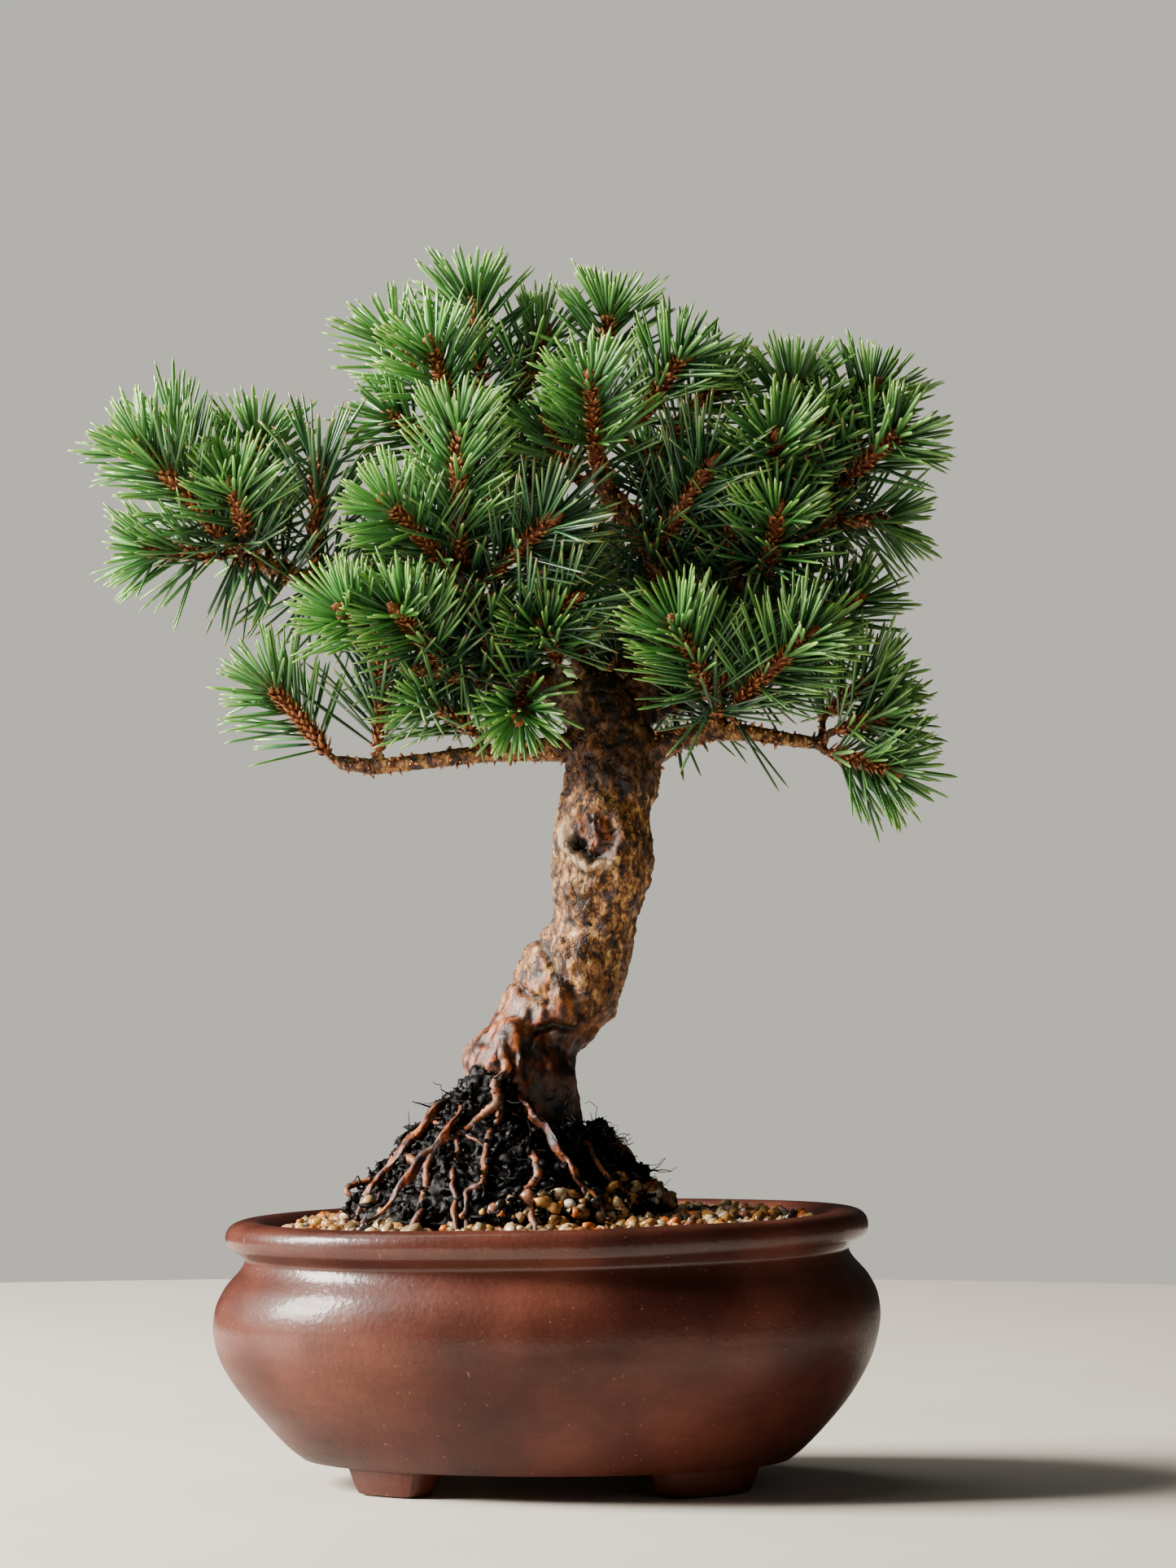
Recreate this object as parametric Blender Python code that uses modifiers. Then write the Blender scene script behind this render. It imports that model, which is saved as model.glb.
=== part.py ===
"""A small two-needle pine grown as a bonsai, in an oval stoneware pot.

All sizes are in millimetres, measured from the middle of the pot's foot ring, with +X to the
viewer's right, +Y to the back and +Z up. Everything hangs from one empty, which turns the
millimetres to metres and puts the row's origin under the middle of the whole plant.

The pot, its drainage mesh, the soil, the peat mound and the grit are solids that nest with a small
gap. The wood is one solid: trunk, limbs, twigs and surface roots, joined by a union. Each needle
shoot is a plain convex envelope on the end of its twig.
"""

import math

import bmesh
import bpy
from mathutils import Matrix, Vector

MM = 0.001
GAP = 0.4  # clearance kept between pieces that touch
MERGE = 0.0001  # weld distance, in scene units

PLANT_OFFSET_X = 8.2  # from the row's origin to the middle of the pot

# Pot
POT_DEPTH_RATIO = 0.725  # front-to-back size over side-to-side size
POT_SIDES = 40
POT_OUTER = (
    (90.0, 80.3), (93.6, 79.6), (95.6, 77.6), (95.9, 74.8), (94.6, 72.2), (91.4, 70.6),
    (90.0, 68.6), (92.0, 65.0), (96.2, 60.4), (99.0, 55.2), (100.0, 49.0), (99.2, 42.5),
    (96.6, 35.5), (91.6, 27.5), (84.6, 19.0), (77.6, 11.6), (73.0, 7.9), (0.0, 7.5),
)
POT_INNER = (
    (0.0, 14.5), (62.0, 14.5), (74.0, 19.0), (82.0, 27.0), (87.0, 37.0), (89.2, 47.0),
    (87.6, 57.0), (83.0, 64.5), (80.6, 69.0), (80.6, 73.6), (82.2, 77.6), (85.6, 79.7),
)
SLUMP_PER_MM = 0.0215  # the kiln tilt of the rim, as rise per millimetre of X
SLUMP_FROM = 15.0
SLUMP_FULL = 55.0

# Feet: where each starts and ends round the oval, in degrees from +X
FEET = {"front_left": (213.0, 240.0), "front_right": (298.0, 335.0)}
FOOT_INNER_R = 55.0
FOOT_OUTER_R = 73.5
FOOT_TOP_Z = 11.0
FOOT_SPLAY = 3.0  # how much narrower the sole is than the top, on each side
FOOT_STEPS = 6

DRAIN_X = 34.0
DRAIN_R = 8.0
DRAIN_MESH_SIZE = 26.0
DRAIN_MESH_Z = (14.9, 15.9)

# Fill
SOIL_TOP_Z = 68.0
SOIL_BOTTOM_Z = 16.4
GRIT_INNER_R = 48.0
GRIT_OUTER_R = 80.0
GRIT_TOP_INNER_Z = 79.4
GRIT_TOP_OUTER_Z = 76.2

# Peat mound: radius of its profile at each height, about its own middle
MOUND_CENTRE = (-12.0, -2.0)
MOUND_DEPTH_RATIO = 0.88
MOUND_SIDES = 24
MOUND_PROFILE = (
    (0.0, 118.0), (10.0, 117.5), (16.0, 115.0), (22.5, 110.0), (28.5, 104.5), (34.0, 98.5),
    (39.5, 92.5), (44.5, 87.0), (48.5, 82.6), (49.4, 80.6), (46.6, 80.2), (46.6, 68.4), (0.0, 68.4),
)
MOUND_LUMPS = 0.035  # share of the radius by which the sides bulge
TRUNK_SOCKET_X = -7.5
TRUNK_SOCKET_R = 22.0
TRUNK_SOCKET_Z = (94.0, 125.0)

# Wood: each point is x, y, z and radius
TRUNK = (
    (-7, 0, 97, 16), (-7, 0, 106, 17.4), (-8, 0, 117, 18.8), (-7.5, 1, 125, 17.6),
    (-3.5, 3, 134, 13.4), (4, 4, 145, 15.4), (8.5, 3, 153, 15.8), (13.5, 0, 165, 12.8),
    (15, -2, 174, 13.6), (16.4, -4, 185, 15.6), (17, -4, 194, 15), (17.8, -3, 203, 13.6),
    (20, -1, 212, 14.2), (19, 1, 222, 13.4), (16, 2, 231, 11), (13, 3, 239, 8),
)
LIMBS = {
    "leader": (
        (18, 3, 226, 9.5), (29, 5, 237, 7), (37, 6, 251, 5.4), (38, 5, 264, 4.6), (33, 3, 277, 4.2),
        (25, 1, 288, 4), (17, 0, 298, 3.4), (15, -1, 310, 2.6), (16, -1, 322, 2.2), (17, 0, 331, 1.8),
    ),
    "low_left": (
        (8, -3, 220, 5.4), (-5, -5, 219, 3.6), (-20, -6, 218, 3.1), (-34, -6, 216, 2.7),
        (-52, -6, 214, 2.6), (-62, -6, 215.5, 2.4),
    ),
    "mid_left": (
        (12, 0, 231, 7.6), (0, -4, 238, 4.6), (-11, -6, 241, 3.4), (-22, -8, 241, 3.1),
        (-31, -10, 242, 2.7), (-40, -12, 244.5, 2.2), (-47, -12, 248, 1.8),
    ),
    "upper_left": (
        (4, 2, 238, 5), (-12, 8, 246, 3.6), (-30, 12, 254, 3.3), (-48, 11, 261, 3.1),
        (-65, 6, 267.4, 3), (-82, 1, 274, 2.8), (-93, -2, 278, 2.4),
    ),
    "centre_left": (
        (-11, -6, 241, 3.4), (-17, -7, 252, 3.3), (-22, -7, 263, 3.3), (-25, -6, 272, 3.1),
        (-25, 0, 285, 2.6), (-22, 5, 300, 2.4), (-21, 7, 315, 2.2), (-20, 7, 328, 1.9),
    ),
    "low_right": (
        (26, -3, 217, 6.4), (40, -5, 223, 4.2), (50, -6, 225, 3.3), (62, -6, 224, 2.7),
        (74, -5, 222, 2.4), (82, -5, 221, 2.1),
    ),
    "upper_right": (
        (37.5, 5, 257, 4.4), (47, 4, 264, 3.2), (58, 3, 270, 2.8), (70, 2, 278, 2.6),
        (81, 1, 287, 2.3), (87, 0, 296, 2),
    ),
    "right_top": ((61, 3, 272, 2.6), (66, 4, 286, 2.2), (70, 2, 298, 2), (76, 1, 304, 1.8)),
    "back": (
        (16, 6, 229, 7), (13, 20, 240, 4), (6, 29, 256, 3.1), (0, 32, 274, 2.7), (-4, 33, 290, 2.2),
    ),
    "back_upper": ((35, 8, 250, 4.4), (38, 21, 257, 3), (40, 29, 269, 2.6), (38, 33, 284, 2.2)),
    "back_left": ((-17, 9, 248.5, 3), (-24, 21, 256, 2.5), (-33, 28, 262, 2)),
    "back_right": ((30, 4, 231, 5), (44, 13, 236, 3), (56, 18, 241, 2.5), (66, 20, 245, 2)),
}
LIMB_SIDES = 1  # bevel resolution: six sides
TRUNK_SIDES = 4  # bevel resolution: twelve sides

# Surface roots over the mound: compass bearing in degrees, height and radius at each point
ROOTS = {
    "front_left": ((238, 124, 3.6), (233, 116, 3.0), (236, 106, 2.5), (228, 97, 2.2), (226, 88, 1.9),
                   (222, 82, 1.6)),
    "front": ((282, 124, 4.4), (287, 114, 3.8), (293, 104, 3.2), (300, 96, 2.2), (303, 88, 1.6),
              (306, 82, 1.4)),
    "left": ((196, 122, 3.4), (203, 111, 2.7), (208, 103, 2.4), (205, 95, 2.1), (204, 88, 1.9),
             (206, 82, 1.6)),
    "back_left": ((150, 122, 3.4), (142, 110, 2.6), (146, 98, 2.2), (140, 88, 1.8), (143, 82, 1.5)),
    "back_right": ((60, 120, 3.2), (52, 108, 2.6), (57, 96, 2.1), (50, 87, 1.7), (54, 82, 1.4)),
}
ROOT_TOE = 6.0  # how far a root runs out over the grit past the mound's foot
ROOT_LIFT = 1.5  # a root's middle stands off the slope by this many of its radii
ROOT_CLEAR = 1.8  # and by this much more, which keeps it out of the mound
ROOT_STEPS = 2  # points laid between the given ones, so that a root follows the slope

TWIG_R = 1.5
TWIG_END_R = 1.3
TWIG_STOP = 0.55  # how far short of the shoot's base the twig ends
TWIG_ALIGN = 2.6  # the last stretch of a twig, which points along its shoot

# Needle shoots: base, bud and how far the needles reach to the side
SHOOTS = {
    "shoot_left_end_front": ((-98, -7, 284), (-122, -14, 310), 15),
    "shoot_left_end_back": ((-97, 5, 287), (-114, 14, 317), 15),
    "shoot_left_top": ((-89, 8, 288), (-87, 14, 314), 14),
    "shoot_left_low": ((-100, -5, 277), (-119, -9, 278), 12),
    "shoot_left_inner": ((-90, -9, 285), (-93, -17, 297), 12),
    "shoot_left_rear": ((-84, 10, 281), (-90, 28, 294), 15),
    "old_needles_left": ((-70, 3, 276), (-68, 2, 306), 16),
    "shoot_low_left_end": ((-66, -7, 219), (-83, -11, 239), 15),
    "old_needles_low_left": ((-50, -6, 220), (-49, -7, 246), 14),
    "shoot_low_left_inner": ((-22, -7, 224.5), (-37, -11, 234.5), 10),
    "shoot_mid_left_end": ((-49, -15, 251), (-60, -26, 260), 13),
    "shoot_mid_left": ((-33, -15, 247), (-44, -30, 260), 14),
    "shoot_mid_left_under": ((-7, -11, 235), (-8, -20, 229), 10),
    "shoot_crotch": ((3, -8, 246), (-1, -18, 255), 12),
    "shoot_centre_left": ((-31, -12, 275), (-47, -25, 292), 14),
    "shoot_centre_front": ((-26, -13, 277), (-26, -28, 315), 15),
    "old_needles_centre": ((-17, -11, 270), (2, -27, 287), 14),
    "old_needles_centre_low": ((-12, -12, 251), (8, -20, 264), 12),
    "shoot_crown_top": ((-20, 7, 334), (-22, 4, 356), 15),
    "shoot_crown_front": ((-29, -4, 322), (-34, -15, 339), 14),
    "shoot_crown_left": ((-35, 9, 326), (-47, 10, 344), 13),
    "shoot_crown_low_left": ((-33, 7, 308), (-47, 8, 320), 13),
    "shoot_crown_right": ((-8, 9, 326), (-1, 11, 344), 13),
    "shoot_apex_top": ((17, 0, 335), (19, -3, 350), 15),
    "shoot_apex_front": ((15, -9, 303), (13, -27, 328), 14),
    "shoot_apex_right": ((28, -3, 318), (41, -11, 337), 14),
    "shoot_apex_right_low": ((36, 6, 312), (53, 8, 330), 14),
    "shoot_apex_left": ((8, 2, 302), (0, 0, 316), 12),
    "old_needles_right_crown": ((36, -6, 284), (49, -19, 304), 13),
    "shoot_right_top_left": ((72, -1, 311), (74, -4, 329), 13),
    "shoot_right_top": ((80, -2, 307), (84, -3, 319), 11),
    "shoot_right_front": ((67, -8, 299), (68, -20, 311), 12),
    "shoot_right_top_end": ((91, 2, 311), (98, 0, 327), 13),
    "shoot_right_end": ((92, -5, 302), (105, -13, 313), 14),
    "shoot_right_end_low": ((88, 3, 288), (103, 6, 288), 13),
    "shoot_right_inner": ((66, -7, 274), (69, -21, 290), 13),
    "shoot_right_inner_back": ((54, -3, 275), (55, -6, 292), 12),
    "shoot_low_right_top": ((49, -15, 235), (38, -31, 256), 13),
    "shoot_low_right_front": ((57, -13, 233), (78, -29, 253), 14),
    "shoot_low_right_high": ((84, 5, 257), (94, 5, 266), 13),
    "shoot_low_right_end": ((85, -1, 231), (99, -2, 241), 13),
    "shoot_low_right_mid": ((87, -9, 225), (101, -12, 229), 9),
    "shoot_low_right_tip": ((85, -8, 218), (102, -16, 213), 10),
    "old_needles_right": ((53, -6, 239), (57, -6, 254), 12),
    "spray_back_left": ((-35, 29, 265), (-46, 42, 278), 17),
    "spray_back_top": ((-6, 34, 294), (-14, 44, 316), 18),
    "spray_back_middle": ((2, 35, 276), (8, 52, 282), 14),
    "spray_back_right": ((38, 34, 288), (42, 44, 308), 17),
    "spray_back_right_low": ((44, 31, 269), (58, 46, 274), 15),
    "spray_back_low": ((21, 25, 243), (23, 46, 247), 15),
    "spray_right_back": ((68, 22, 248), (82, 32, 256), 15),
    "spray_right_top_back": ((74, 8, 298), (80, 26, 306), 14),
}
SHOOT_OVERSHOOT = 11.0  # how far the needles pass the bud
SHOOT_SIDES = 8
SHOOT_RINGS = 5
SHOOT_TAPER = 0.22  # the envelope is this much wider at the bud and narrower at the base
WOOD_CLEARANCE = 0.95  # air between a shoot and any wood but its own twig


def clear_scene():
    """Takes every object out of the file, the startup ones among them."""
    for thing in list(bpy.data.objects):
        bpy.data.objects.remove(thing)


def make_collection(name, hidden=False):
    """A collection in the scene; a hidden one holds cutters and guides."""
    group = bpy.data.collections.new(name)
    group.hide_render = hidden
    bpy.context.scene.collection.children.link(group)
    return group


def principled(name, colour, roughness, metallic=0.0):
    """A plain material with a Principled shader."""
    material = bpy.data.materials.new(name)
    material.use_nodes = True
    shader = material.node_tree.nodes["Principled BSDF"]
    shader.inputs["Base Color"].default_value = (*colour, 1.0)
    shader.inputs["Roughness"].default_value = roughness
    shader.inputs["Metallic"].default_value = metallic
    return material


def add_object(name, mesh, group, parent, material=None):
    """Links a mesh as a named object under the parent empty."""
    thing = bpy.data.objects.new(name, mesh)
    group.objects.link(thing)
    thing.parent = parent
    if material:
        mesh.materials.clear()
        mesh.materials.append(material)
    return thing


def as_guide(thing):
    """Marks an object as a cutter or a guide, which is no part of the model."""
    thing.hide_render = True
    thing.display_type = "WIRE"
    return thing


def smooth_mesh(mesh, angle_deg=40.0):
    """Smooth shading with the edges sharper than the angle kept sharp."""
    mesh.shade_smooth()
    mesh.set_sharp_from_angle(angle=math.radians(angle_deg))


def finished_mesh(name, bm):
    """Turns a bmesh into a mesh with its faces pointing out."""
    bmesh.ops.recalc_face_normals(bm, faces=bm.faces)
    mesh = bpy.data.meshes.new(name)
    bm.to_mesh(mesh)
    bm.free()
    smooth_mesh(mesh)
    return mesh


def evaluated_copy(thing, name):
    """The object's evaluated mesh in its own space, welded."""
    graph = bpy.context.evaluated_depsgraph_get()
    mesh = bpy.data.meshes.new_from_object(thing.evaluated_get(graph))
    mesh.name = name
    bm = bmesh.new()
    bm.from_mesh(mesh)
    bmesh.ops.remove_doubles(bm, verts=bm.verts, dist=MERGE * 0.1)
    bm.to_mesh(mesh)
    bm.free()
    return mesh


def turned_mesh(name, profile, sides, depth_ratio, group, closed=False):
    """Turns a profile of (radius, height) pairs about Z, then narrows it front to back."""
    mesh = bpy.data.meshes.new(name)
    points = [(radius * MM, 0.0, height * MM) for radius, height in profile]
    edges = [(i, i + 1) for i in range(len(points) - 1)]
    if closed:
        edges.append((len(points) - 1, 0))
    mesh.from_pydata(points, edges, [])
    blank = bpy.data.objects.new(name + "_blank", mesh)
    group.objects.link(blank)
    turn = blank.modifiers.new("turn", "SCREW")
    turn.steps = sides
    turn.render_steps = sides
    turn.use_merge_vertices = True
    turn.merge_threshold = MERGE * 0.1
    result = evaluated_copy(blank, name)
    bpy.data.objects.remove(blank)
    result.transform(Matrix.Diagonal((1.0, depth_ratio, 1.0, 1.0)))
    return result


def smoothstep(value, low, high):
    """0 below low, 1 above high, and a smooth rise between."""
    share = min(max((value - low) / (high - low), 0.0), 1.0)
    return share * share * (3.0 - 2.0 * share)


def slump_at(x, z):
    """How far the pot's kiln tilt lifts a point, in millimetres."""
    return x * SLUMP_PER_MM * smoothstep(z, SLUMP_FROM, SLUMP_FULL)


def slump(mesh):
    """Tilts the upper part of a mesh as the pot's rim is tilted."""
    for vertex in mesh.vertices:
        vertex.co.z += slump_at(vertex.co.x / MM, vertex.co.z / MM) * MM
    return mesh


def cut_by(target, cutter, operation="DIFFERENCE"):
    """Adds an exact Boolean to the target."""
    modifier = target.modifiers.new(operation.lower(), "BOOLEAN")
    modifier.operation = operation
    modifier.solver = "EXACT"
    modifier.object = cutter
    return modifier


def cylinder(name, x, radius, heights, sides, cutters, parent):
    """An upright cylinder used as a cutter."""
    low, high = heights
    bm = bmesh.new()
    size = {"radius1": radius * MM, "radius2": radius * MM, "depth": (high - low) * MM}
    bmesh.ops.create_cone(bm, cap_ends=True, segments=sides, **size)
    bmesh.ops.translate(bm, vec=(x * MM, 0.0, (low + high) / 2 * MM), verts=bm.verts)
    return as_guide(add_object(name, finished_mesh(name, bm), cutters, parent))


def foot_mesh(name, start_deg, end_deg):
    """One foot: a wedge of the oval foot ring whose sole is a little narrower than its top."""
    bm = bmesh.new()
    middle = math.radians((start_deg + end_deg) / 2)
    reach = math.radians((end_deg - start_deg) / 2)
    splay = FOOT_SPLAY / FOOT_OUTER_R
    corners = (
        (FOOT_INNER_R, FOOT_TOP_Z, 0.0),
        (FOOT_OUTER_R, FOOT_TOP_Z, 0.0),
        (FOOT_OUTER_R - FOOT_SPLAY * 0.4, FOOT_TOP_Z * 0.42, splay * 0.3),
        (FOOT_OUTER_R - FOOT_SPLAY, 0.0, splay),
        (FOOT_INNER_R + FOOT_SPLAY, 0.0, splay),
    )
    rings = []
    for step in range(FOOT_STEPS + 1):
        share = 2.0 * step / FOOT_STEPS - 1.0
        ring = []
        for radius, height, inset in corners:
            angle = middle + share * (reach - inset)
            x = radius * math.cos(angle)
            y = radius * math.sin(angle) * POT_DEPTH_RATIO
            ring.append(bm.verts.new((x * MM, y * MM, height * MM)))
        rings.append(ring)
    for ring, following in zip(rings, rings[1:]):
        for i in range(len(corners)):
            j = (i + 1) % len(corners)
            bm.faces.new((ring[i], ring[j], following[j], following[i]))
    bm.faces.new(rings[0])
    bm.faces.new(rings[-1])
    return finished_mesh(name, bm)


def build_pot(group, cutters, parent):
    """The fired pot with its rolled lip, belly, four feet and two drain holes."""
    clay = principled("red_brown_stoneware", (0.22, 0.082, 0.052), 0.32)
    body = turned_mesh("pot", POT_INNER + POT_OUTER, POT_SIDES, POT_DEPTH_RATIO, cutters)
    pot = add_object("pot", slump(body), group, parent, clay)
    for side, name in ((-1, "drain_drill_left"), (1, "drain_drill_right")):
        drill = cylinder(name, side * DRAIN_X, DRAIN_R, (1.0, 21.0), 24, cutters, parent)
        cut_by(pot, drill)
    for name, (start, end) in FEET.items():
        for turn, where in ((0.0, name), (180.0, name.replace("front", "back_of"))):
            mesh = foot_mesh("foot_" + where, start + turn, end + turn)
            foot = add_object("foot_" + where, mesh, cutters, parent)
            cut_by(pot, as_guide(foot), "UNION")
    smooth_mesh(pot.data)
    return pot


def build_drainage(group, parent):
    """Two squares of plastic mesh that keep the soil off the drain holes."""
    plastic = principled("drainage_mesh", (0.02, 0.02, 0.02), 0.5)
    low, high = DRAIN_MESH_Z
    for side, name in ((-1, "drainage_mesh_left"), (1, "drainage_mesh_right")):
        bm = bmesh.new()
        bmesh.ops.create_cube(bm, size=1.0)
        size = (DRAIN_MESH_SIZE * MM, DRAIN_MESH_SIZE * MM, (high - low) * MM)
        bmesh.ops.scale(bm, vec=size, verts=bm.verts)
        bmesh.ops.translate(bm, vec=(side * DRAIN_X * MM, 0, (low + high) / 2 * MM), verts=bm.verts)
        add_object(name, finished_mesh(name, bm), group, parent, plastic)


def build_fill(group, cutters, parent):
    """The potting soil, and the ring of grit that dresses its top."""
    peat = principled("potting_soil", (0.035, 0.024, 0.018), 0.95)
    inner = [(r - 2 * GAP, z) for r, z in POT_INNER if SOIL_BOTTOM_Z < z < SOIL_TOP_Z]
    profile = [(0.0, SOIL_TOP_Z), (80.2 - GAP, SOIL_TOP_Z), *reversed(inner), (60.0, SOIL_BOTTOM_Z)]
    profile.append((0.0, SOIL_BOTTOM_Z))
    soil = turned_mesh("potting_soil", profile, POT_SIDES, POT_DEPTH_RATIO, cutters)
    smooth_mesh(soil)
    add_object("potting_soil", slump(soil), group, parent, peat)

    stones = principled("river_grit", (0.36, 0.27, 0.17), 0.45)
    middle_r = (GRIT_INNER_R + GRIT_OUTER_R) / 2
    middle_z = (GRIT_TOP_INNER_Z + GRIT_TOP_OUTER_Z) / 2 + 0.8
    bm = bmesh.new()
    loops = (
        (GRIT_INNER_R, GRIT_TOP_INNER_Z, True), (middle_r, middle_z, None),
        (GRIT_OUTER_R, GRIT_TOP_OUTER_Z, False), (GRIT_OUTER_R - 0.4, SOIL_TOP_Z + GAP, False),
        (GRIT_INNER_R, SOIL_TOP_Z + GAP, True),
    )
    rings = []
    for radius, height, on_mound in loops:
        rings.append([bm.verts.new(grit_point(radius, height, on_mound, i)) for i in range(POT_SIDES)])
    for ring, following in zip(rings, rings[1:] + rings[:1]):
        for i in range(POT_SIDES):
            j = (i + 1) % POT_SIDES
            bm.faces.new((ring[i], ring[j], following[j], following[i]))
    add_object("gravel", slump(finished_mesh("gravel", bm)), group, parent, stones)


def grit_point(radius, height, on_mound, step):
    """A point of the grit ring, whose hole follows the mound and whose outside follows the pot."""
    angle = 2.0 * math.pi * step / POT_SIDES
    inside = Vector((MOUND_CENTRE[0] + GRIT_INNER_R * math.cos(angle),
                     MOUND_CENTRE[1] + GRIT_INNER_R * MOUND_DEPTH_RATIO * math.sin(angle), 0.0))
    outside = Vector((radius * math.cos(angle), radius * POT_DEPTH_RATIO * math.sin(angle), 0.0))
    if on_mound is None:
        rim = Vector((GRIT_OUTER_R * math.cos(angle), GRIT_OUTER_R * POT_DEPTH_RATIO * math.sin(angle), 0.0))
        place = (inside + rim) / 2
    else:
        place = inside if on_mound else outside
    return Vector((place.x, place.y, height)) * MM


def mound_radius(bearing, height):
    """The mound's radius in a direction, with its lumps, at a height on its open sides."""
    sides = [point for point in MOUND_PROFILE if point[1] > 80.5]
    for (high_r, high_z), (low_r, low_z) in zip(sides, sides[1:]):
        if low_z <= height <= high_z:
            share = (high_z - height) / (high_z - low_z)
            radius = high_r + (low_r - high_r) * share
            break
    else:
        radius = sides[-1][0] if height < sides[-1][1] else 0.0
    lump = math.sin(3 * bearing + 0.9) * 0.6 + math.sin(7 * bearing + height * 0.11) * 0.4
    return radius * (1.0 + MOUND_LUMPS * lump)


def mound_point(bearing, height, out=0.0):
    """A point on the mound's side, moved out from it."""
    radius = mound_radius(bearing, height) + out
    x = MOUND_CENTRE[0] + radius * math.cos(bearing)
    y = MOUND_CENTRE[1] + radius * math.sin(bearing) * MOUND_DEPTH_RATIO
    return Vector((x, y, height + slump_at(x, height)))


def build_mound(group, cutters, parent):
    """The mound of black peat that the trunk stands in, with a socket for the trunk."""
    peat = principled("black_peat", (0.02, 0.016, 0.014), 0.8)
    mesh = turned_mesh("root_mound", MOUND_PROFILE, MOUND_SIDES, 1.0, cutters)
    for vertex in mesh.vertices:
        x, y, z = (value / MM for value in vertex.co)
        bearing = math.atan2(y, x)
        radius = math.hypot(x, y)
        if z > 80.5 and radius > 1.0:
            radius = mound_radius(bearing, z)
        place = Vector((MOUND_CENTRE[0] + radius * math.cos(bearing),
                        MOUND_CENTRE[1] + radius * math.sin(bearing) * MOUND_DEPTH_RATIO, z))
        vertex.co = place * MM
    smooth_mesh(mesh, 60.0)
    mound = add_object("root_mound", slump(mesh), group, parent, peat)
    socket = cylinder("trunk_socket", TRUNK_SOCKET_X, TRUNK_SOCKET_R, TRUNK_SOCKET_Z, 20, cutters, parent)
    cut_by(mound, socket)


def tube(name, points, resolution, cutters, parent):
    """A round tube of changing radius through the points, as a welded mesh object."""
    curve = bpy.data.curves.new(name, "CURVE")
    curve.dimensions = "3D"
    curve.bevel_depth = MM
    curve.bevel_resolution = resolution
    curve.use_fill_caps = True
    spline = curve.splines.new("POLY")
    spline.points.add(len(points) - 1)
    for slot, (x, y, z, radius) in zip(spline.points, points):
        slot.co = (x * MM, y * MM, z * MM, 1.0)
        slot.radius = radius
    line = bpy.data.objects.new(name + "_line", curve)
    cutters.objects.link(line)
    mesh = evaluated_copy(line, name)
    bpy.data.objects.remove(line)
    return add_object(name, mesh, cutters, parent)


def smooth_route(points, steps):
    """Extra points on a Catmull-Rom curve through the route's own points."""
    route = [Vector(point) for point in points]
    padded = [route[0] * 2 - route[1], *route, route[-1] * 2 - route[-2]]
    result = []
    for p0, p1, p2, p3 in zip(padded, padded[1:], padded[2:], padded[3:]):
        for step in range(steps):
            t = step / steps
            bend = (2 * p0 - 5 * p1 + 4 * p2 - p3) * t * t + (3 * p1 - p0 - 3 * p2 + p3) * t * t * t
            result.append(tuple((2 * p1 + (p2 - p0) * t + bend) / 2))
    return [*result, tuple(route[-1])]


def root_route(marks):
    """A surface root's points: down the mound's side, then out over the grit."""
    points = []
    for mark, following in zip(marks, marks[1:]):
        for step in range(ROOT_STEPS):
            share = step / ROOT_STEPS
            bearing, height, radius = (a + (b - a) * share for a, b in zip(mark, following))
            place = mound_point(math.radians(bearing), height, radius * ROOT_LIFT + ROOT_CLEAR)
            points.append((*place, radius))
    bearing, height, radius = marks[-1]
    for out in (ROOT_CLEAR, ROOT_TOE):
        place = mound_point(math.radians(bearing), height, radius * ROOT_LIFT + out)
        points.append((*place, radius * 0.9))
    return points


def closest_on_segment(point, start, end):
    """The point of a segment that is nearest to a point, and its share of the way."""
    along = end - start
    share = max(0.0, min(1.0, (point - start).dot(along) / along.length_squared))
    return start + along * share, share


def closest_pair(a, b, c, d):
    """The nearest points of segments ab and cd."""
    best = None
    for start, end, other_start, other_end, flipped in ((a, b, c, d, False), (c, d, a, b, True)):
        for point in (start, end):
            near = closest_on_segment(point, other_start, other_end)[0]
            pair = (near, point) if flipped else (point, near)
            if best is None or (pair[0] - pair[1]).length < (best[0] - best[1]).length:
                best = pair
    u, v, w = b - a, d - c, a - c
    flatness = u.length_squared * v.length_squared - u.dot(v) ** 2
    if flatness > 1e-6:
        s = (u.dot(v) * v.dot(w) - v.length_squared * u.dot(w)) / flatness
        t = (u.length_squared * v.dot(w) - u.dot(v) * u.dot(w)) / flatness
        if 0.0 < s < 1.0 and 0.0 < t < 1.0:
            best = (a + u * s, c + v * t)
    return best


def twig_route(base, bud):
    """A twig from the nearest limb out to a shoot's base."""
    best = None
    for points in LIMBS.values():
        for (x0, y0, z0, r0), (x1, y1, z1, r1) in zip(points[1:], points[2:]):
            near, share = closest_on_segment(base, Vector((x0, y0, z0)), Vector((x1, y1, z1)))
            distance = (near - base).length
            if best is None or distance < best[0]:
                best = (distance, near, r0 + (r1 - r0) * share)
    start, limb_r = best[1], best[2]
    heading = (bud - base).normalized()
    end = base - heading * TWIG_STOP
    middle = end - heading * min(TWIG_ALIGN, (end - start).length / 2)
    thickness = min(TWIG_R, limb_r * 0.8)
    return [(*start, thickness), (*middle, thickness), (*end, TWIG_END_R)]


def wood_segments(routes):
    """Every straight stretch of the wood: the name of its route, its ends and its largest radius."""
    result = []
    for name, points in routes.items():
        for (x0, y0, z0, r0), (x1, y1, z1, r1) in zip(points, points[1:]):
            result.append((name, Vector((x0, y0, z0)), Vector((x1, y1, z1)), max(r0, r1)))
    return result


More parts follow.
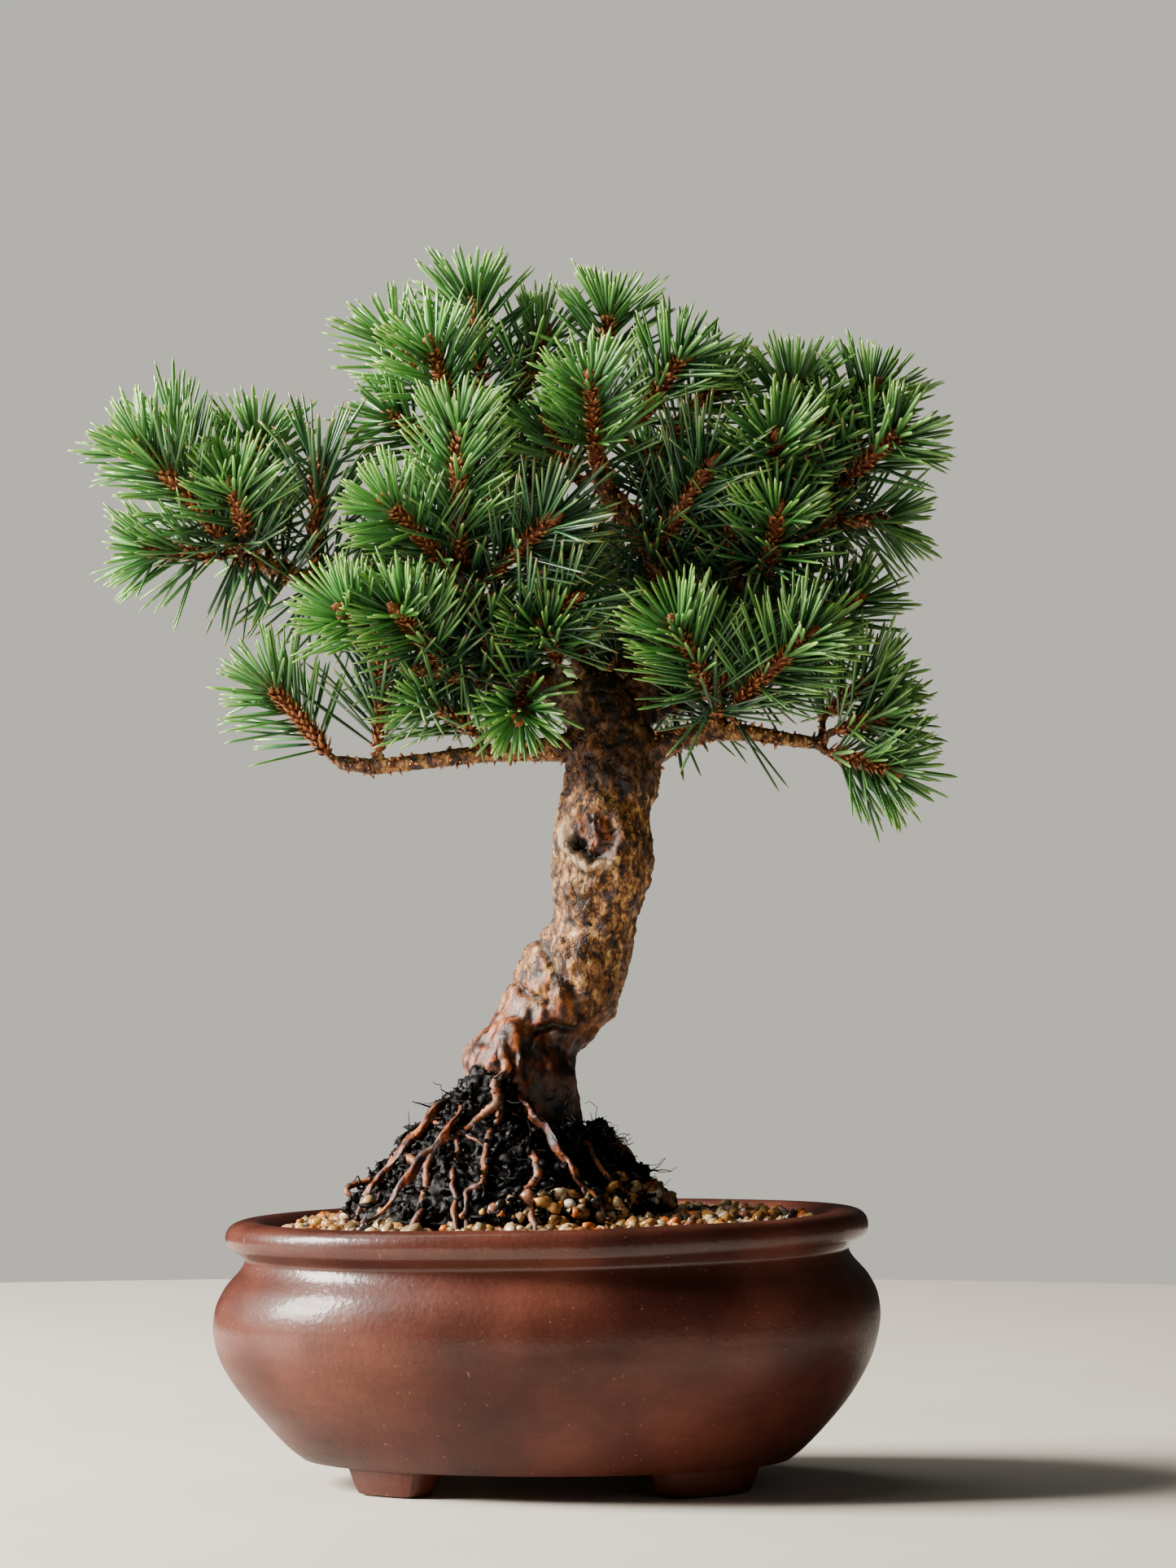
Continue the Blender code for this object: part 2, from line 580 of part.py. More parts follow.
def build_tree(group, cutters, parent):
    """The wood as one solid, and the straight stretches that the shoots keep clear of."""
    bark = principled("pine_bark", (0.20, 0.10, 0.055), 0.8)
    routes = {"trunk": smooth_route(TRUNK, 2)}
    routes.update({"limb_" + name: points for name, points in LIMBS.items()})
    routes.update({"root_" + name: root_route(points) for name, points in ROOTS.items()})
    for name, (base, bud, _reach) in SHOOTS.items():
        routes["twig_" + name] = twig_route(Vector(base), Vector(bud))
    joined = make_collection("Wood tubes", hidden=True)
    tree = None
    for name, points in routes.items():
        resolution = TRUNK_SIDES if name == "trunk" else LIMB_SIDES
        piece = tube(name, points, resolution, joined, parent)
        if name == "trunk":
            joined.objects.unlink(piece)
            group.objects.link(piece)
            tree = piece
        else:
            as_guide(piece)
    tree.name = "tree"
    tree.data.materials.append(bark)
    union = tree.modifiers.new("union", "BOOLEAN")
    union.operation = "UNION"
    union.operand_type = "COLLECTION"
    union.solver = "EXACT"
    union.collection = joined
    smooth_mesh(tree.data, 60.0)
    return wood_segments(routes)


def shoot_envelope(base, tip, reach):
    """A closed spindle from base to tip, widest past its middle."""
    bm = bmesh.new()
    bmesh.ops.create_uvsphere(bm, u_segments=SHOOT_SIDES, v_segments=SHOOT_RINGS, radius=1.0)
    half = (tip - base).length / 2
    for vertex in bm.verts:
        width = reach * (1.0 + SHOOT_TAPER * vertex.co.z)
        vertex.co = Vector((vertex.co.x * width, vertex.co.y * width, vertex.co.z * half))
    turn = (tip - base).to_track_quat("Z", "Y").to_matrix().to_4x4()
    bmesh.ops.transform(bm, matrix=Matrix.Translation((base + tip) / 2) @ turn, verts=bm.verts)
    return bm


def slice_off(bm, point, direction):
    """Cuts away what lies ahead of a plane and closes the cut."""
    everything = [*bm.verts, *bm.edges, *bm.faces]
    cut = bmesh.ops.bisect_plane(
        bm, geom=everything, dist=1e-4, plane_co=point, plane_no=direction, clear_outer=True
    )
    edges = [part for part in cut["geom_cut"] if isinstance(part, bmesh.types.BMEdge)]
    if edges:
        bmesh.ops.contextual_create(bm, geom=edges)


def build_shoots(group, parent, wood):
    """One closed envelope for each shoot, cut back from the wood and from its neighbours."""
    young = principled("pine_needles_young", (0.10, 0.22, 0.05), 0.45)
    old = principled("pine_needles_old", (0.04, 0.10, 0.045), 0.45)
    lines = {}
    for name, (base, bud, reach) in SHOOTS.items():
        start, end = Vector(base), Vector(bud)
        lines[name] = (start, end + (end - start).normalized() * SHOOT_OVERSHOOT, reach)
    faults = []
    for name, (start, end, reach) in lines.items():
        bm = shoot_envelope(start, end, reach)
        for owner, first, second, radius in wood:
            here, there = closest_pair(start, end, first, second)
            space = (there - here).length
            if owner == "twig_" + name or space > radius + WOOD_CLEARANCE + reach * 2:
                continue
            if space < radius + WOOD_CLEARANCE:
                faults.append(f"{name} runs through {owner}: {space:.1f} of {radius:.1f}")
                continue
            direction = (there - here).normalized()
            slice_off(bm, there - direction * (radius + WOOD_CLEARANCE), direction)
        for other, (first, second, other_reach) in lines.items():
            here, there = closest_pair(start, end, first, second)
            space = (there - here).length
            if other == name or space > reach * 2 + other_reach * 2:
                continue
            if space < 1.5:
                faults.append(f"{name} meets {other}: {space:.1f}")
                continue
            share = reach / (reach + other_reach)
            direction = (there - here).normalized()
            slice_off(bm, here + (there - here) * share - direction * GAP / 2, direction)
        bmesh.ops.scale(bm, vec=(MM, MM, MM), verts=bm.verts)
        add_object(name, finished_mesh(name, bm), group, parent, old if "old" in name else young)
    if faults:
        raise ValueError("; ".join(faults))


def main():
    """Builds the potted tree."""
    clear_scene()
    group = make_collection("Bonsai pine in a pot")
    cutters = make_collection("Cutters", hidden=True)
    middle = bpy.data.objects.new("pot_middle", None)
    middle.location = (PLANT_OFFSET_X * MM, 0.0, 0.0)
    group.objects.link(middle)
    build_pot(group, cutters, middle)
    build_drainage(group, middle)
    build_fill(group, cutters, middle)
    build_mound(group, cutters, middle)
    wood = build_tree(group, cutters, middle)
    build_shoots(group, middle, wood)


main()
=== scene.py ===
"""Looks of a small two-needle pine grown as a bonsai in an oval stoneware pot.

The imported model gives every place: the pot's box, the mound's and the grit's surfaces, the wood,
and one plain envelope for each needle shoot. Each class below builds one sub-assembly round those
solids: the fired pot, the grit, the peat with its roots, the barked wood and the needle shoots.
"""

import logging
import math
import random
from collections.abc import Callable, Iterable, Sequence
from dataclasses import dataclass, field
from enum import Enum
from functools import partial

import bmesh
import bpy
from mathutils import Matrix, Quaternion, Vector, noise
from mathutils.bvhtree import BVHTree


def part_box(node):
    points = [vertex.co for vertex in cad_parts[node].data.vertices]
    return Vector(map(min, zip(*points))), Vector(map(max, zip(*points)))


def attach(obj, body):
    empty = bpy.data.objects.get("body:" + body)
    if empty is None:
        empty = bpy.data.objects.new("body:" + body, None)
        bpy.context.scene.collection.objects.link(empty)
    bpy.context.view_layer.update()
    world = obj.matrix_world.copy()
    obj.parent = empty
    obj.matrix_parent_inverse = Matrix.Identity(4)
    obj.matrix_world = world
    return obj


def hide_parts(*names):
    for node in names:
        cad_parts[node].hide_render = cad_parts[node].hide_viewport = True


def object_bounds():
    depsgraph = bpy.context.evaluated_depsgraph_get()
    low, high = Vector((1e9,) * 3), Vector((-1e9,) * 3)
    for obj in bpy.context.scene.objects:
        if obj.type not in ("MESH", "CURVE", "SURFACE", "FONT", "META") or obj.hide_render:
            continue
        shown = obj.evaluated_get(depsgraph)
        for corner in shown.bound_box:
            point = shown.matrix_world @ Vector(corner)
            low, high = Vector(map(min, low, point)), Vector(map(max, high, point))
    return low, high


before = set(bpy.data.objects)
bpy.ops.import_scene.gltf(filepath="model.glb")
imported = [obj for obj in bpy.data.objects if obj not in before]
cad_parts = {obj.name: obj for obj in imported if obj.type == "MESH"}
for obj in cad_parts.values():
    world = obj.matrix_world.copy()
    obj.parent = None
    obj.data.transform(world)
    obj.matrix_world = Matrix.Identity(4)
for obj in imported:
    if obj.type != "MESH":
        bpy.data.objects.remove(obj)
CAD_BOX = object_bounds()
LOG = logging.getLogger("bonsai")

MM = 0.001
BODY = "root"
NOISE_SEED = 5
GOLDEN_ANGLE = math.radians(137.507764)
UP = Vector((0.0, 0.0, 1.0))

# The first two values also carry painted shade: the first paints shade into the lower trunk's creases, the
# second paints shade under the crown and on the lower trunk's right side, mixed with grime.
BARK_ATTRIBUTES = ("crack", "dusk", "skin", "wear")

Links = dict[str | int, object]
Stops = Sequence[tuple[float, str]]
Maker = Callable[..., bpy.types.NodeSocket]
Route = Sequence[tuple[float, float, float]]
Spot = tuple[Vector, Vector]


# ---------------------------------------------------------------- small helpers


def linear(hex_colour: str, alpha: float = 1.0) -> tuple[float, float, float, float]:
    """Turns an sRGB hex colour to linear light.

    Args:
        hex_colour: the colour as "#RRGGBB".
        alpha: the fourth number of the result.

    Returns:
        Linear red, green, blue and alpha.
    """
    shares = [int(hex_colour[i : i + 2], 16) / 255.0 for i in (1, 3, 5)]
    values = [c / 12.92 if c <= 0.04045 else ((c + 0.055) / 1.055) ** 2.4 for c in shares]
    return values[0], values[1], values[2], alpha


def smoothstep(value: float, low: float, high: float) -> float:
    """0 at low, 1 at high, and a smooth change between; low may be the larger."""
    share = min(max((value - low) / (high - low), 0.0), 1.0)
    return share * share * (3.0 - 2.0 * share)


def per_mm(size: float) -> float:
    """The texture scale at which a pattern repeats about every size millimetres."""
    return 1.0 / (size * MM)


def connect(node: bpy.types.Node, links: Links) -> None:
    """Sets a node's inputs: each is linked from a socket or gets its plain value."""
    for key, value in links.items():
        if isinstance(value, bpy.types.NodeSocket):
            node.id_data.links.new(value, node.inputs[key])
        else:
            node.inputs[key].default_value = value


def add_node(
    tree: bpy.types.NodeTree, kind: str, links: Links | None = None, stops: Stops = (), out: int | str = 0,
    **settings: object
) -> bpy.types.NodeSocket:
    """Adds one shader node.

    Args:
        tree: the node tree that gets it.
        kind: the node's class name without its "ShaderNode" start.
        links: for each input, the socket it is linked from or its plain value.
        stops: a colour ramp's places and colours, with the two ends first.
        out: which output is wanted.
        settings: the node's own settings.

    Returns:
        That output.
    """
    node = tree.nodes.new("ShaderNode" + kind)
    for name, value in settings.items():
        setattr(node, name, value)
    connect(node, links or {})
    for i, (place, colour) in enumerate(stops):
        points = node.color_ramp.elements
        point = points[i] if i < 2 else points.new(place)
        point.position = place
        point.color = linear(colour)
    return node.outputs[out]


def start_material(name: str) -> tuple[bpy.types.Material, Maker, bpy.types.Node]:
    """Makes a material.

    Args:
        name: what the real finish is called.

    Returns:
        The material, a function that adds nodes to it, and its Principled shader.
    """
    material = bpy.data.materials.new(name)
    material.use_nodes = True
    tree = material.node_tree
    return material, partial(add_node, tree), tree.nodes["Principled BSDF"]


def merged_copy(node: str) -> bmesh.types.BMesh:
    """A CAD node's mesh as a bmesh with its loose triangles welded."""
    bm = bmesh.new()
    bm.from_mesh(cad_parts[node].data)
    bmesh.ops.remove_doubles(bm, verts=bm.verts, dist=1e-6)
    bm.normal_update()
    return bm


def surface_of(node: str) -> BVHTree:
    """A CAD node's surface, for finding the nearest point or what a ray meets."""
    bm = merged_copy(node)
    tree = BVHTree.FromBMesh(bm)
    bm.free()
    return tree


def mesh_of(
    bm: bmesh.types.BMesh, name: str, materials: Sequence[bpy.types.Material], sharp_deg: float = 180.0
) -> bpy.types.Mesh:
    """Turns a bmesh into a smooth-shaded mesh.

    Args:
        bm: the shape, which is freed.
        name: the mesh's name.
        materials: its material slots in order.
        sharp_deg: edges that turn more than this stay sharp.

    Returns:
        The mesh.
    """
    mesh = bpy.data.meshes.new(name)
    bm.to_mesh(mesh)
    bm.free()
    for material in materials:
        mesh.materials.append(material)
    mesh.shade_smooth()
    if sharp_deg < 180.0:
        mesh.set_sharp_from_angle(angle=math.radians(sharp_deg))
    return mesh


def add_piece(name: str, mesh: bpy.types.Mesh, replaced: Iterable[str] = ()) -> bpy.types.Object:
    """Puts a finished mesh in the scene as a piece of the plant.

    Args:
        name: the piece's name.
        mesh: its mesh, already in place.
        replaced: the CAD nodes that it stands for.

    Returns:
        The piece.
    """
    piece = bpy.data.objects.new(name, mesh)
    bpy.context.scene.collection.objects.link(piece)
    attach(piece, BODY)
    if replaced:
        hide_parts(*replaced)
    LOG.info("%s: %d faces", name, len(mesh.polygons))
    return piece


def baked(mesh: bpy.types.Mesh, *modifiers: tuple[str, dict[str, object]]) -> bpy.types.Mesh:
    """Applies modifiers to a mesh by way of a short-lived object.

    Args:
        mesh: the mesh, which is removed.
        modifiers: each modifier's type and its settings.

    Returns:
        The changed mesh.
    """
    blank = bpy.data.objects.new(mesh.name + "_blank", mesh)
    bpy.context.scene.collection.objects.link(blank)
    for kind, settings in modifiers:
        modifier = blank.modifiers.new(kind.lower(), kind)
        for key, value in settings.items():
            setattr(modifier, key, value)
    result = bpy.data.meshes.new_from_object(blank.evaluated_get(bpy.context.evaluated_depsgraph_get()))
    bpy.data.objects.remove(blank)
    bpy.data.meshes.remove(mesh)
    return result


def write_attribute(mesh: bpy.types.Mesh, name: str, values: Sequence[float]) -> None:
    """Gives a mesh a number on every vertex, for its material to read."""
    mesh.attributes.new(name, "FLOAT", "POINT").data.foreach_set("value", values)


def aim(direction: Vector, roll: float = 0.0) -> Quaternion:
    """The turn that takes +Z to a direction, after a roll about it."""
    return direction.to_track_quat("Z", "Y") @ Quaternion(UP, roll)


def bumps(p: Vector, size: float) -> float:
    """Smooth noise from -1 to 1 at a point, with swellings about a size across."""
    return noise.noise(p / size)


def random_turn(rng: random.Random) -> Quaternion:
    """A turn in which no way up is more likely than another."""
    return Quaternion([rng.gauss(0, 1) for _ in range(4)]).normalized()


def jolt(rng: random.Random, spread: float, spread_z: float, rise: float) -> Vector:
    """A random push, whose upward part has its own spread and mean."""
    return Vector((rng.gauss(0, spread), rng.gauss(0, spread), rng.gauss(rise, spread_z)))


def sweep(bm: bmesh.types.BMesh, points: Sequence[Vector], radii: Sequence[float], sides: int) -> None:
    """Draws a closed round tube through the points by extruding its end ring.

    Args:
        bm: the bmesh that gets the tube.
        points: the centre line, in metres.
        radii: the radius at each point, in metres.
        sides: how many sides the tube has.
    """
    headings = []
    for i in range(len(points)):
        headings.append((points[min(i + 1, len(points) - 1)] - points[max(i - 1, 0)]).normalized())
    turn = aim(headings[0])
    place = Matrix.Translation(points[0]) @ turn.to_matrix().to_4x4()
    ring = bmesh.ops.create_circle(bm, segments=sides, radius=radii[0], matrix=place, cap_ends=True)["verts"]
    bmesh.ops.reverse_faces(bm, faces=list(dict.fromkeys(face for vert in ring for face in vert.link_faces)))
    edges = list(dict.fromkeys(edge for vert in ring for edge in vert.link_edges))
    for i in range(1, len(points)):
        grown = bmesh.ops.extrude_edge_only(bm, edges=edges)["geom"]
        ring = [part for part in grown if isinstance(part, bmesh.types.BMVert)]
        held = set(ring)
        edges = [part for part in grown if isinstance(part, bmesh.types.BMEdge) and held.issuperset(part.verts)]
        bend = headings[i - 1].rotation_difference(headings[i]).to_matrix().to_4x4()
        size = Matrix.Scale(radii[i] / radii[i - 1], 4)
        move = Matrix.Translation(points[i]) @ bend @ size @ Matrix.Translation(-points[i - 1])
        bmesh.ops.transform(bm, matrix=move, verts=ring)
    bmesh.ops.contextual_create(bm, geom=edges)


def rounded_route(points: Sequence[Vector], steps: int) -> list[Vector]:
    """Extra points on a Catmull-Rom curve through the route's own points."""
    padded = [points[0] * 2 - points[1], *points, points[-1] * 2 - points[-2]]
    result = []
    for p0, p1, p2, p3 in zip(padded, padded[1:], padded[2:], padded[3:]):
        for step in range(steps):
            t = step / steps
            bend = (2 * p0 - 5 * p1 + 4 * p2 - p3) * t * t + (3 * p1 - p0 - 3 * p2 + p3) * t * t * t
            result.append((2 * p1 + (p2 - p0) * t + bend) / 2)
    return [*result, points[-1]]


# ---------------------------------------------------------------- finishes


@dataclass(frozen=True)
class Stoneware:
    """Red-brown stoneware under a thin satin glaze, thrown and wiped with a sponge.

    The glaze pooled on the shoulder gives broad soft highlights there. They break up over the clay's
    fine grog, which is drawn coarser than it is so that it shows.
    """

    dark: str = "#35170F"
    middle: str = "#4C241A"
    light: str = "#643528"
    grog_dark: str = "#2B130D"
    grog_pale: str = "#C08C76"
    pooled_from: tuple[float, float] = (36.0 * MM, 54.0 * MM)

    def build(self) -> bpy.types.Material:
        """Makes the material."""
        material, node, shader = start_material("stoneware_satin_glaze")
        place = node("TexCoord", out="Object")
        flat = node("Mapping", {"Vector": place, "Scale": (0.12, 0.12, 1.0)})
        cloud, wipe, grog, sheen, peel = (
            node("TexNoise", {"Vector": where, "Scale": per_mm(size), "Detail": detail})
            for where, size, detail in ((place, 42.0, 5.0), (flat, 1.5, 3.0), (place, 1.3, 1.0),
                                        (flat, 9.0, 4.0), (place, 2.0, 4.0))
        )
        clay = node("ValToRGB", {0: cloud}, ((0.34, self.dark), (0.66, self.light), (0.5, self.middle)))
        wiped = node("Mix", {0: wipe, 6: clay, 7: linear(self.light)}, out=2, data_type="RGBA",
                     blend_type="MULTIPLY")
        specks = node("MapRange", {0: grog, 1: 0.70, 2: 0.76, 4: 0.5})
        pale = node("MapRange", {0: grog, 1: 0.27, 2: 0.22, 4: 0.22})
        for share, over in ((0.35, wiped), (specks, linear(self.grog_dark)), (pale, linear(self.grog_pale))):
            clay = node("Mix", {0: share, 6: clay, 7: over}, out=2, data_type="RGBA")
        film = node("MapRange", {0: sheen, 1: 0.36, 2: 0.62, 3: 0.7, 4: 0.16})
        height = node("SeparateXYZ", {"Vector": place}, out=2)
        pooled = node("MapRange", {0: height, 1: self.pooled_from[0], 2: self.pooled_from[1], 3: 0.08})
        lines = node("Bump", {"Strength": 0.25, "Distance": 0.12 * MM, "Height": wipe})
        skin = node("Bump", {"Strength": 0.8, "Distance": 0.16 * MM, "Height": peel, "Normal": lines})
        grain = node("Bump", {"Strength": 0.35, "Distance": 0.1 * MM, "Height": grog, "Normal": skin})
        connect(shader, {
            "Base Color": clay,
            "Roughness": node("MapRange", {0: sheen, 1: 0.3, 2: 0.7, 3: 0.38, 4: 0.50}),
            "Coat Weight": node("Math", {0: film, 1: pooled}, operation="MULTIPLY"),
            "Coat Roughness": 0.13,
            "Normal": grain,
            "Coat Normal": grain,
            "IOR": 1.52,
            "Specular IOR Level": 0.22,
        })
        return material


@dataclass(frozen=True)
class PineBark:
    """Flaking pine bark: tan flakes over dark brown, near-black cracks, damp red-brown skin on the roots.

    The crack colour also paints shade into the wood's creases, and the brown tint multiplies painted shade
    and grime into the bark.
    """

    # The crack colour covers bark cracks and painted shade in creases; the tint below multiplies painted shade
    # and grime.
    crack: str = "#120A06"
    dusk: str = "#6E5238"
    wear: str = "#D2B48C"
    flakes: Stops = ((0.40, "#140A05"), (0.68, "#FAE4B2"), (0.45, "#40220C"), (0.49, "#72431A"),
                     (0.54, "#A87032"), (0.60, "#D8A85E"))
    skins: Stops = ((0.40, "#120602"), (0.80, "#DDAA74"), (0.47, "#3C1809"), (0.53, "#733413"),
                    (0.59, "#A65A24"), (0.68, "#C67F40"))

    def build(self) -> bpy.types.Material:
        """Makes the material, which reads the four attributes that the wood and the roots carry."""
        material, node, shader = start_material("pine_bark_damp")
        place = node("TexCoord", out="Object")
        crack_and_shade_share, shade_and_grime_share, skinned, worn = (
            node("Attribute", out="Fac", attribute_name=name) for name in BARK_ATTRIBUTES
        )
        swirl = node("TexNoise", {"Vector": place, "Scale": per_mm(5.0), "Detail": 2.0}, out=1)
        warp = node("VectorMath", {0: swirl, 1: (4.0 * MM,) * 3, 2: place}, operation="MULTIPLY_ADD")
        run = node("Mapping", {"Vector": warp, "Scale": (1.0, 1.0, 0.5)})
        mottle = node("TexNoise", {"Vector": run, "Scale": per_mm(2.8), "Detail": 7.0, "Roughness": 0.76})
        streak = node("TexNoise", {"Vector": run, "Scale": per_mm(4.0), "Detail": 7.0, "Roughness": 0.7})
        gate = node("TexNoise", {"Vector": place, "Scale": per_mm(6.0), "Detail": 3.0})
        open_here = node("MapRange", {0: gate, 1: 0.44, 2: 0.58})
        edges = node("TexVoronoi", {"Vector": run, "Scale": per_mm(2.6)}, feature="DISTANCE_TO_EDGE")
        thin = node("MapRange", {0: edges, 1: 0.10, 2: 0.02})
        split = node("Math", {0: thin, 1: open_here}, operation="MULTIPLY")
        line = node("Math", {0: split, 1: 0.75}, operation="MULTIPLY")
        # The crack colour goes on bark cracks and on painted shade in the creases.
        dark = node("Math", {0: crack_and_shade_share, 1: line}, operation="MAXIMUM")
        colour = node("ValToRGB", {0: mottle}, self.flakes)
        skin = node("ValToRGB", {0: streak}, self.skins)
        # The brown tint multiplies painted shade and grime into the bark.
        for share, over, blend in ((skinned, skin, "MIX"), (shade_and_grime_share, linear(self.dusk), "MULTIPLY"),
                                   (worn, linear(self.wear), "MIX"), (dark, linear(self.crack), "MIX")):
            colour = node("Mix", {0: share, 6: colour, 7: over}, out=2, data_type="RGBA", blend_type=blend)
        dull = node("MapRange", {0: mottle, 1: 0.35, 2: 0.65, 3: 0.62, 4: 0.40})
        wet = node("MapRange", {0: streak, 1: 0.35, 2: 0.65, 3: 0.36, 4: 0.58})
        chips = node("TexVoronoi", {"Vector": run, "Scale": per_mm(1.7)}, out=1)
        steps = node("Bump", {"Strength": 0.55, "Distance": 0.5 * MM, "Height": chips})
        cut = node("Bump", {"Strength": 0.8, "Distance": 0.5 * MM, "Height": split, "Normal": steps},
                   invert=True)
        grain = node("Bump", {"Strength": 0.9, "Distance": 0.7 * MM, "Height": mottle, "Normal": cut})
        soft = node("Bump", {"Strength": 0.8, "Distance": 0.6 * MM, "Height": streak})
        connect(shader, {
            "Base Color": colour,
            "Roughness": node("Mix", {0: skinned, 2: dull, 3: wet}, data_type="FLOAT"),
            "Normal": node("Mix", {0: skinned, 4: grain, 5: soft}, out=1, data_type="VECTOR"),
        })
        return material


def along_spike(node: Maker, dark: Stops, light: Stops) -> bpy.types.NodeSocket:
    """The colour along a spike: a dark and a light run from root to tip, mixed by each spike's tone."""
    along, tone = (node("Attribute", out="Fac", attribute_name=name) for name in ("along", "tone"))
    runs = [node("ValToRGB", {0: along}, stops) for stops in (dark, light)]
    return node("Mix", {0: tone, 6: runs[0], 7: runs[1]}, out=2, data_type="RGBA")


@dataclass(frozen=True)
class NeedleSkin:
    """The waxy skin of a pine needle: pale by its sheath, deep green along it, lighter at its point.

    The wax gives each needle a thin bright line, and its flat side a faint pale bloom. Each needle's tone mixes
    a shaded and a lit run of greens: partly at random, and partly as painted shade, lower for shoots further
    back and for the needles inside the crown.
    """

    name: str
    fresh_and_lit: Stops
    shaded: Stops
    bloom: str = "#C2DCA6"
    bloom_share: float = 0.1

    def build(self) -> bpy.types.Material:
        """Makes the material."""
        material, node, shader = start_material(self.name)
        flat = node("Attribute", out="Fac", attribute_name="flat")
        wax = node("Math", {0: flat, 1: self.bloom_share}, operation="MULTIPLY")
        green = along_spike(node, self.shaded, self.fresh_and_lit)
        connect(shader, {
            "Base Color": node("Mix", {0: wax, 6: green, 7: linear(self.bloom)}, out=2, data_type="RGBA"),
            "Roughness": 0.3,
            "IOR": 1.5,
            "Specular IOR Level": 0.95,
        })
        return material


YOUNG_NEEDLES = NeedleSkin(
    "needle_wax_young",
    fresh_and_lit=((0.0, "#9C9A4E"), (1.0, "#C3CC62"), (0.1, "#3A7A30"), (0.6, "#569B40"), (0.94, "#88C04C")),
    shaded=((0.0, "#7C7C42"), (1.0, "#8FAE52"), (0.1, "#17462A"), (0.6, "#235E30"), (0.94, "#488839")),
)
OLD_NEEDLES = NeedleSkin(
    "needle_wax_old",
    fresh_and_lit=((0.0, "#8E8346"), (1.0, "#D8B45A"), (0.1, "#2C6536"), (0.6, "#3C7A3C"), (0.92, "#74A048")),
    shaded=((0.0, "#6E6238"), (1.0, "#A8532C"), (0.1, "#173F2B"), (0.6, "#245334"), (0.92, "#4C7240")),
    bloom_share=0.05,
)


@dataclass(frozen=True)
class BudScale:
    """Papery bud and shoot scales: orange-brown, darker at the root, frayed and pale at the tip."""

    light: Stops = ((0.0, "#5A2A14"), (1.0, "#E6BB86"), (0.35, "#AA5C2C"), (0.75, "#CF8347"))
    dark: Stops = ((0.0, "#351A0F"), (1.0, "#B07B50"), (0.35, "#6E3A20"), (0.75, "#94542E"))

    def build(self) -> bpy.types.Material:
        """Makes the material."""
        material, node, shader = start_material("bud_scale_papery")
        place = node("TexCoord", out="Object")
        fray = node("TexNoise", {"Vector": place, "Scale": per_mm(0.5), "Detail": 2.0})
        connect(shader, {
            "Base Color": along_spike(node, self.dark, self.light),
            "Roughness": 0.5,
            "Normal": node("Bump", {"Strength": 0.5, "Distance": 0.15 * MM, "Height": fray}),
        })
        return material


@dataclass(frozen=True)
class RiverGrit:
    """River grit, rounded by water and still wet: quartz, ochre, flint and brick in one mix."""

    palette: Stops = (
        (0.0, "#AC7A3E"), (0.95, "#EADCC2"), (0.14, "#BF9C6C"), (0.26, "#7A5229"), (0.36, "#C46A26"),
        (0.44, "#6B5236"), (0.53, "#CDB58D"), (0.62, "#2E2823"), (0.70, "#97634A"), (0.78, "#B58A43"),
        (0.85, "#A28A62"),
    )

    def build(self) -> bpy.types.Material:
        """Makes the material: each stone's tone picks its kind from the palette."""
        material, node, shader = start_material("river_grit_wet")
        place = node("TexCoord", out="Object")
        tone = node("Attribute", out="Fac", attribute_name="tone")
        stone = node("ValToRGB", {0: tone}, self.palette)
        stone.node.color_ramp.interpolation = "CONSTANT"
        veins = node("TexNoise", {"Vector": place, "Scale": per_mm(1.6), "Detail": 4.0})
        shade = node("MapRange", {0: veins, 1: 0.3, 2: 0.7, 3: 0.5, 4: 1.1})
        connect(shader, {
            "Base Color": node("VectorMath", {0: stone, "Scale": shade}, operation="SCALE"),
            "Roughness": node("MapRange", {0: veins, 1: 0.35, 2: 0.65, 3: 0.13, 4: 0.36}),
            "Normal": node("Bump", {"Strength": 0.35, "Distance": 0.2 * MM, "Height": veins}),
        })
        return material


@dataclass(frozen=True)
class Earth:
    """Peat or potting soil: dark crumbs whose wet faces glint and whose dry ones are dull."""

    name: str
    dark: str
    light: str
    grain_mm: float
    rough: tuple[float, float]
    gloss: float = 0.5

    def build(self) -> bpy.types.Material:
        """Makes the material."""
        material, node, shader = start_material(self.name)
        place = node("TexCoord", out="Object")
        crumbs = node("TexNoise", {"Vector": place, "Scale": per_mm(self.grain_mm), "Detail": 6.0,
                                   "Roughness": 0.65})
        wet = node("TexNoise", {"Vector": place, "Scale": per_mm(self.grain_mm * 2.2), "Detail": 3.0})
        connect(shader, {
            "Base Color": node("ValToRGB", {0: crumbs}, ((0.4, self.dark), (0.72, self.light))),
            "Roughness": node("MapRange", {0: wet, 1: 0.4, 2: 0.6, 3: self.rough[0], 4: self.rough[1]}),
            "Normal": node("Bump", {"Strength": 0.9, "Distance": 0.5 * MM, "Height": crumbs}),
            "Specular IOR Level": self.gloss,
        })
        return material


PEAT = Earth("peat_wet_black", dark="#010102", light="#0B0808", grain_mm=1.6, rough=(0.16, 0.6), gloss=0.14)
SOIL = Earth("potting_soil_moist", dark="#17100C", light="#4A3526", grain_mm=2.4, rough=(0.55, 0.9))


@dataclass(frozen=True)
class MouldedMesh:
    """Black polypropylene drainage mesh, with the faint grid and dull sheen that its mould left."""

    def build(self) -> bpy.types.Material:
        """Makes the material."""
        material, node, shader = start_material("polypropylene_mesh_black")
        place = node("TexCoord", out="Object")
        grid = node("TexBrick", {"Vector": place, "Scale": per_mm(12.0), "Color1": linear("#1A1A1A"),
                                 "Color2": linear("#222222"), "Mortar": linear("#050505")})
        connect(shader, {"Base Color": grid, "Roughness": 0.45})
        return material


# ---------------------------------------------------------------- repeated small shapes


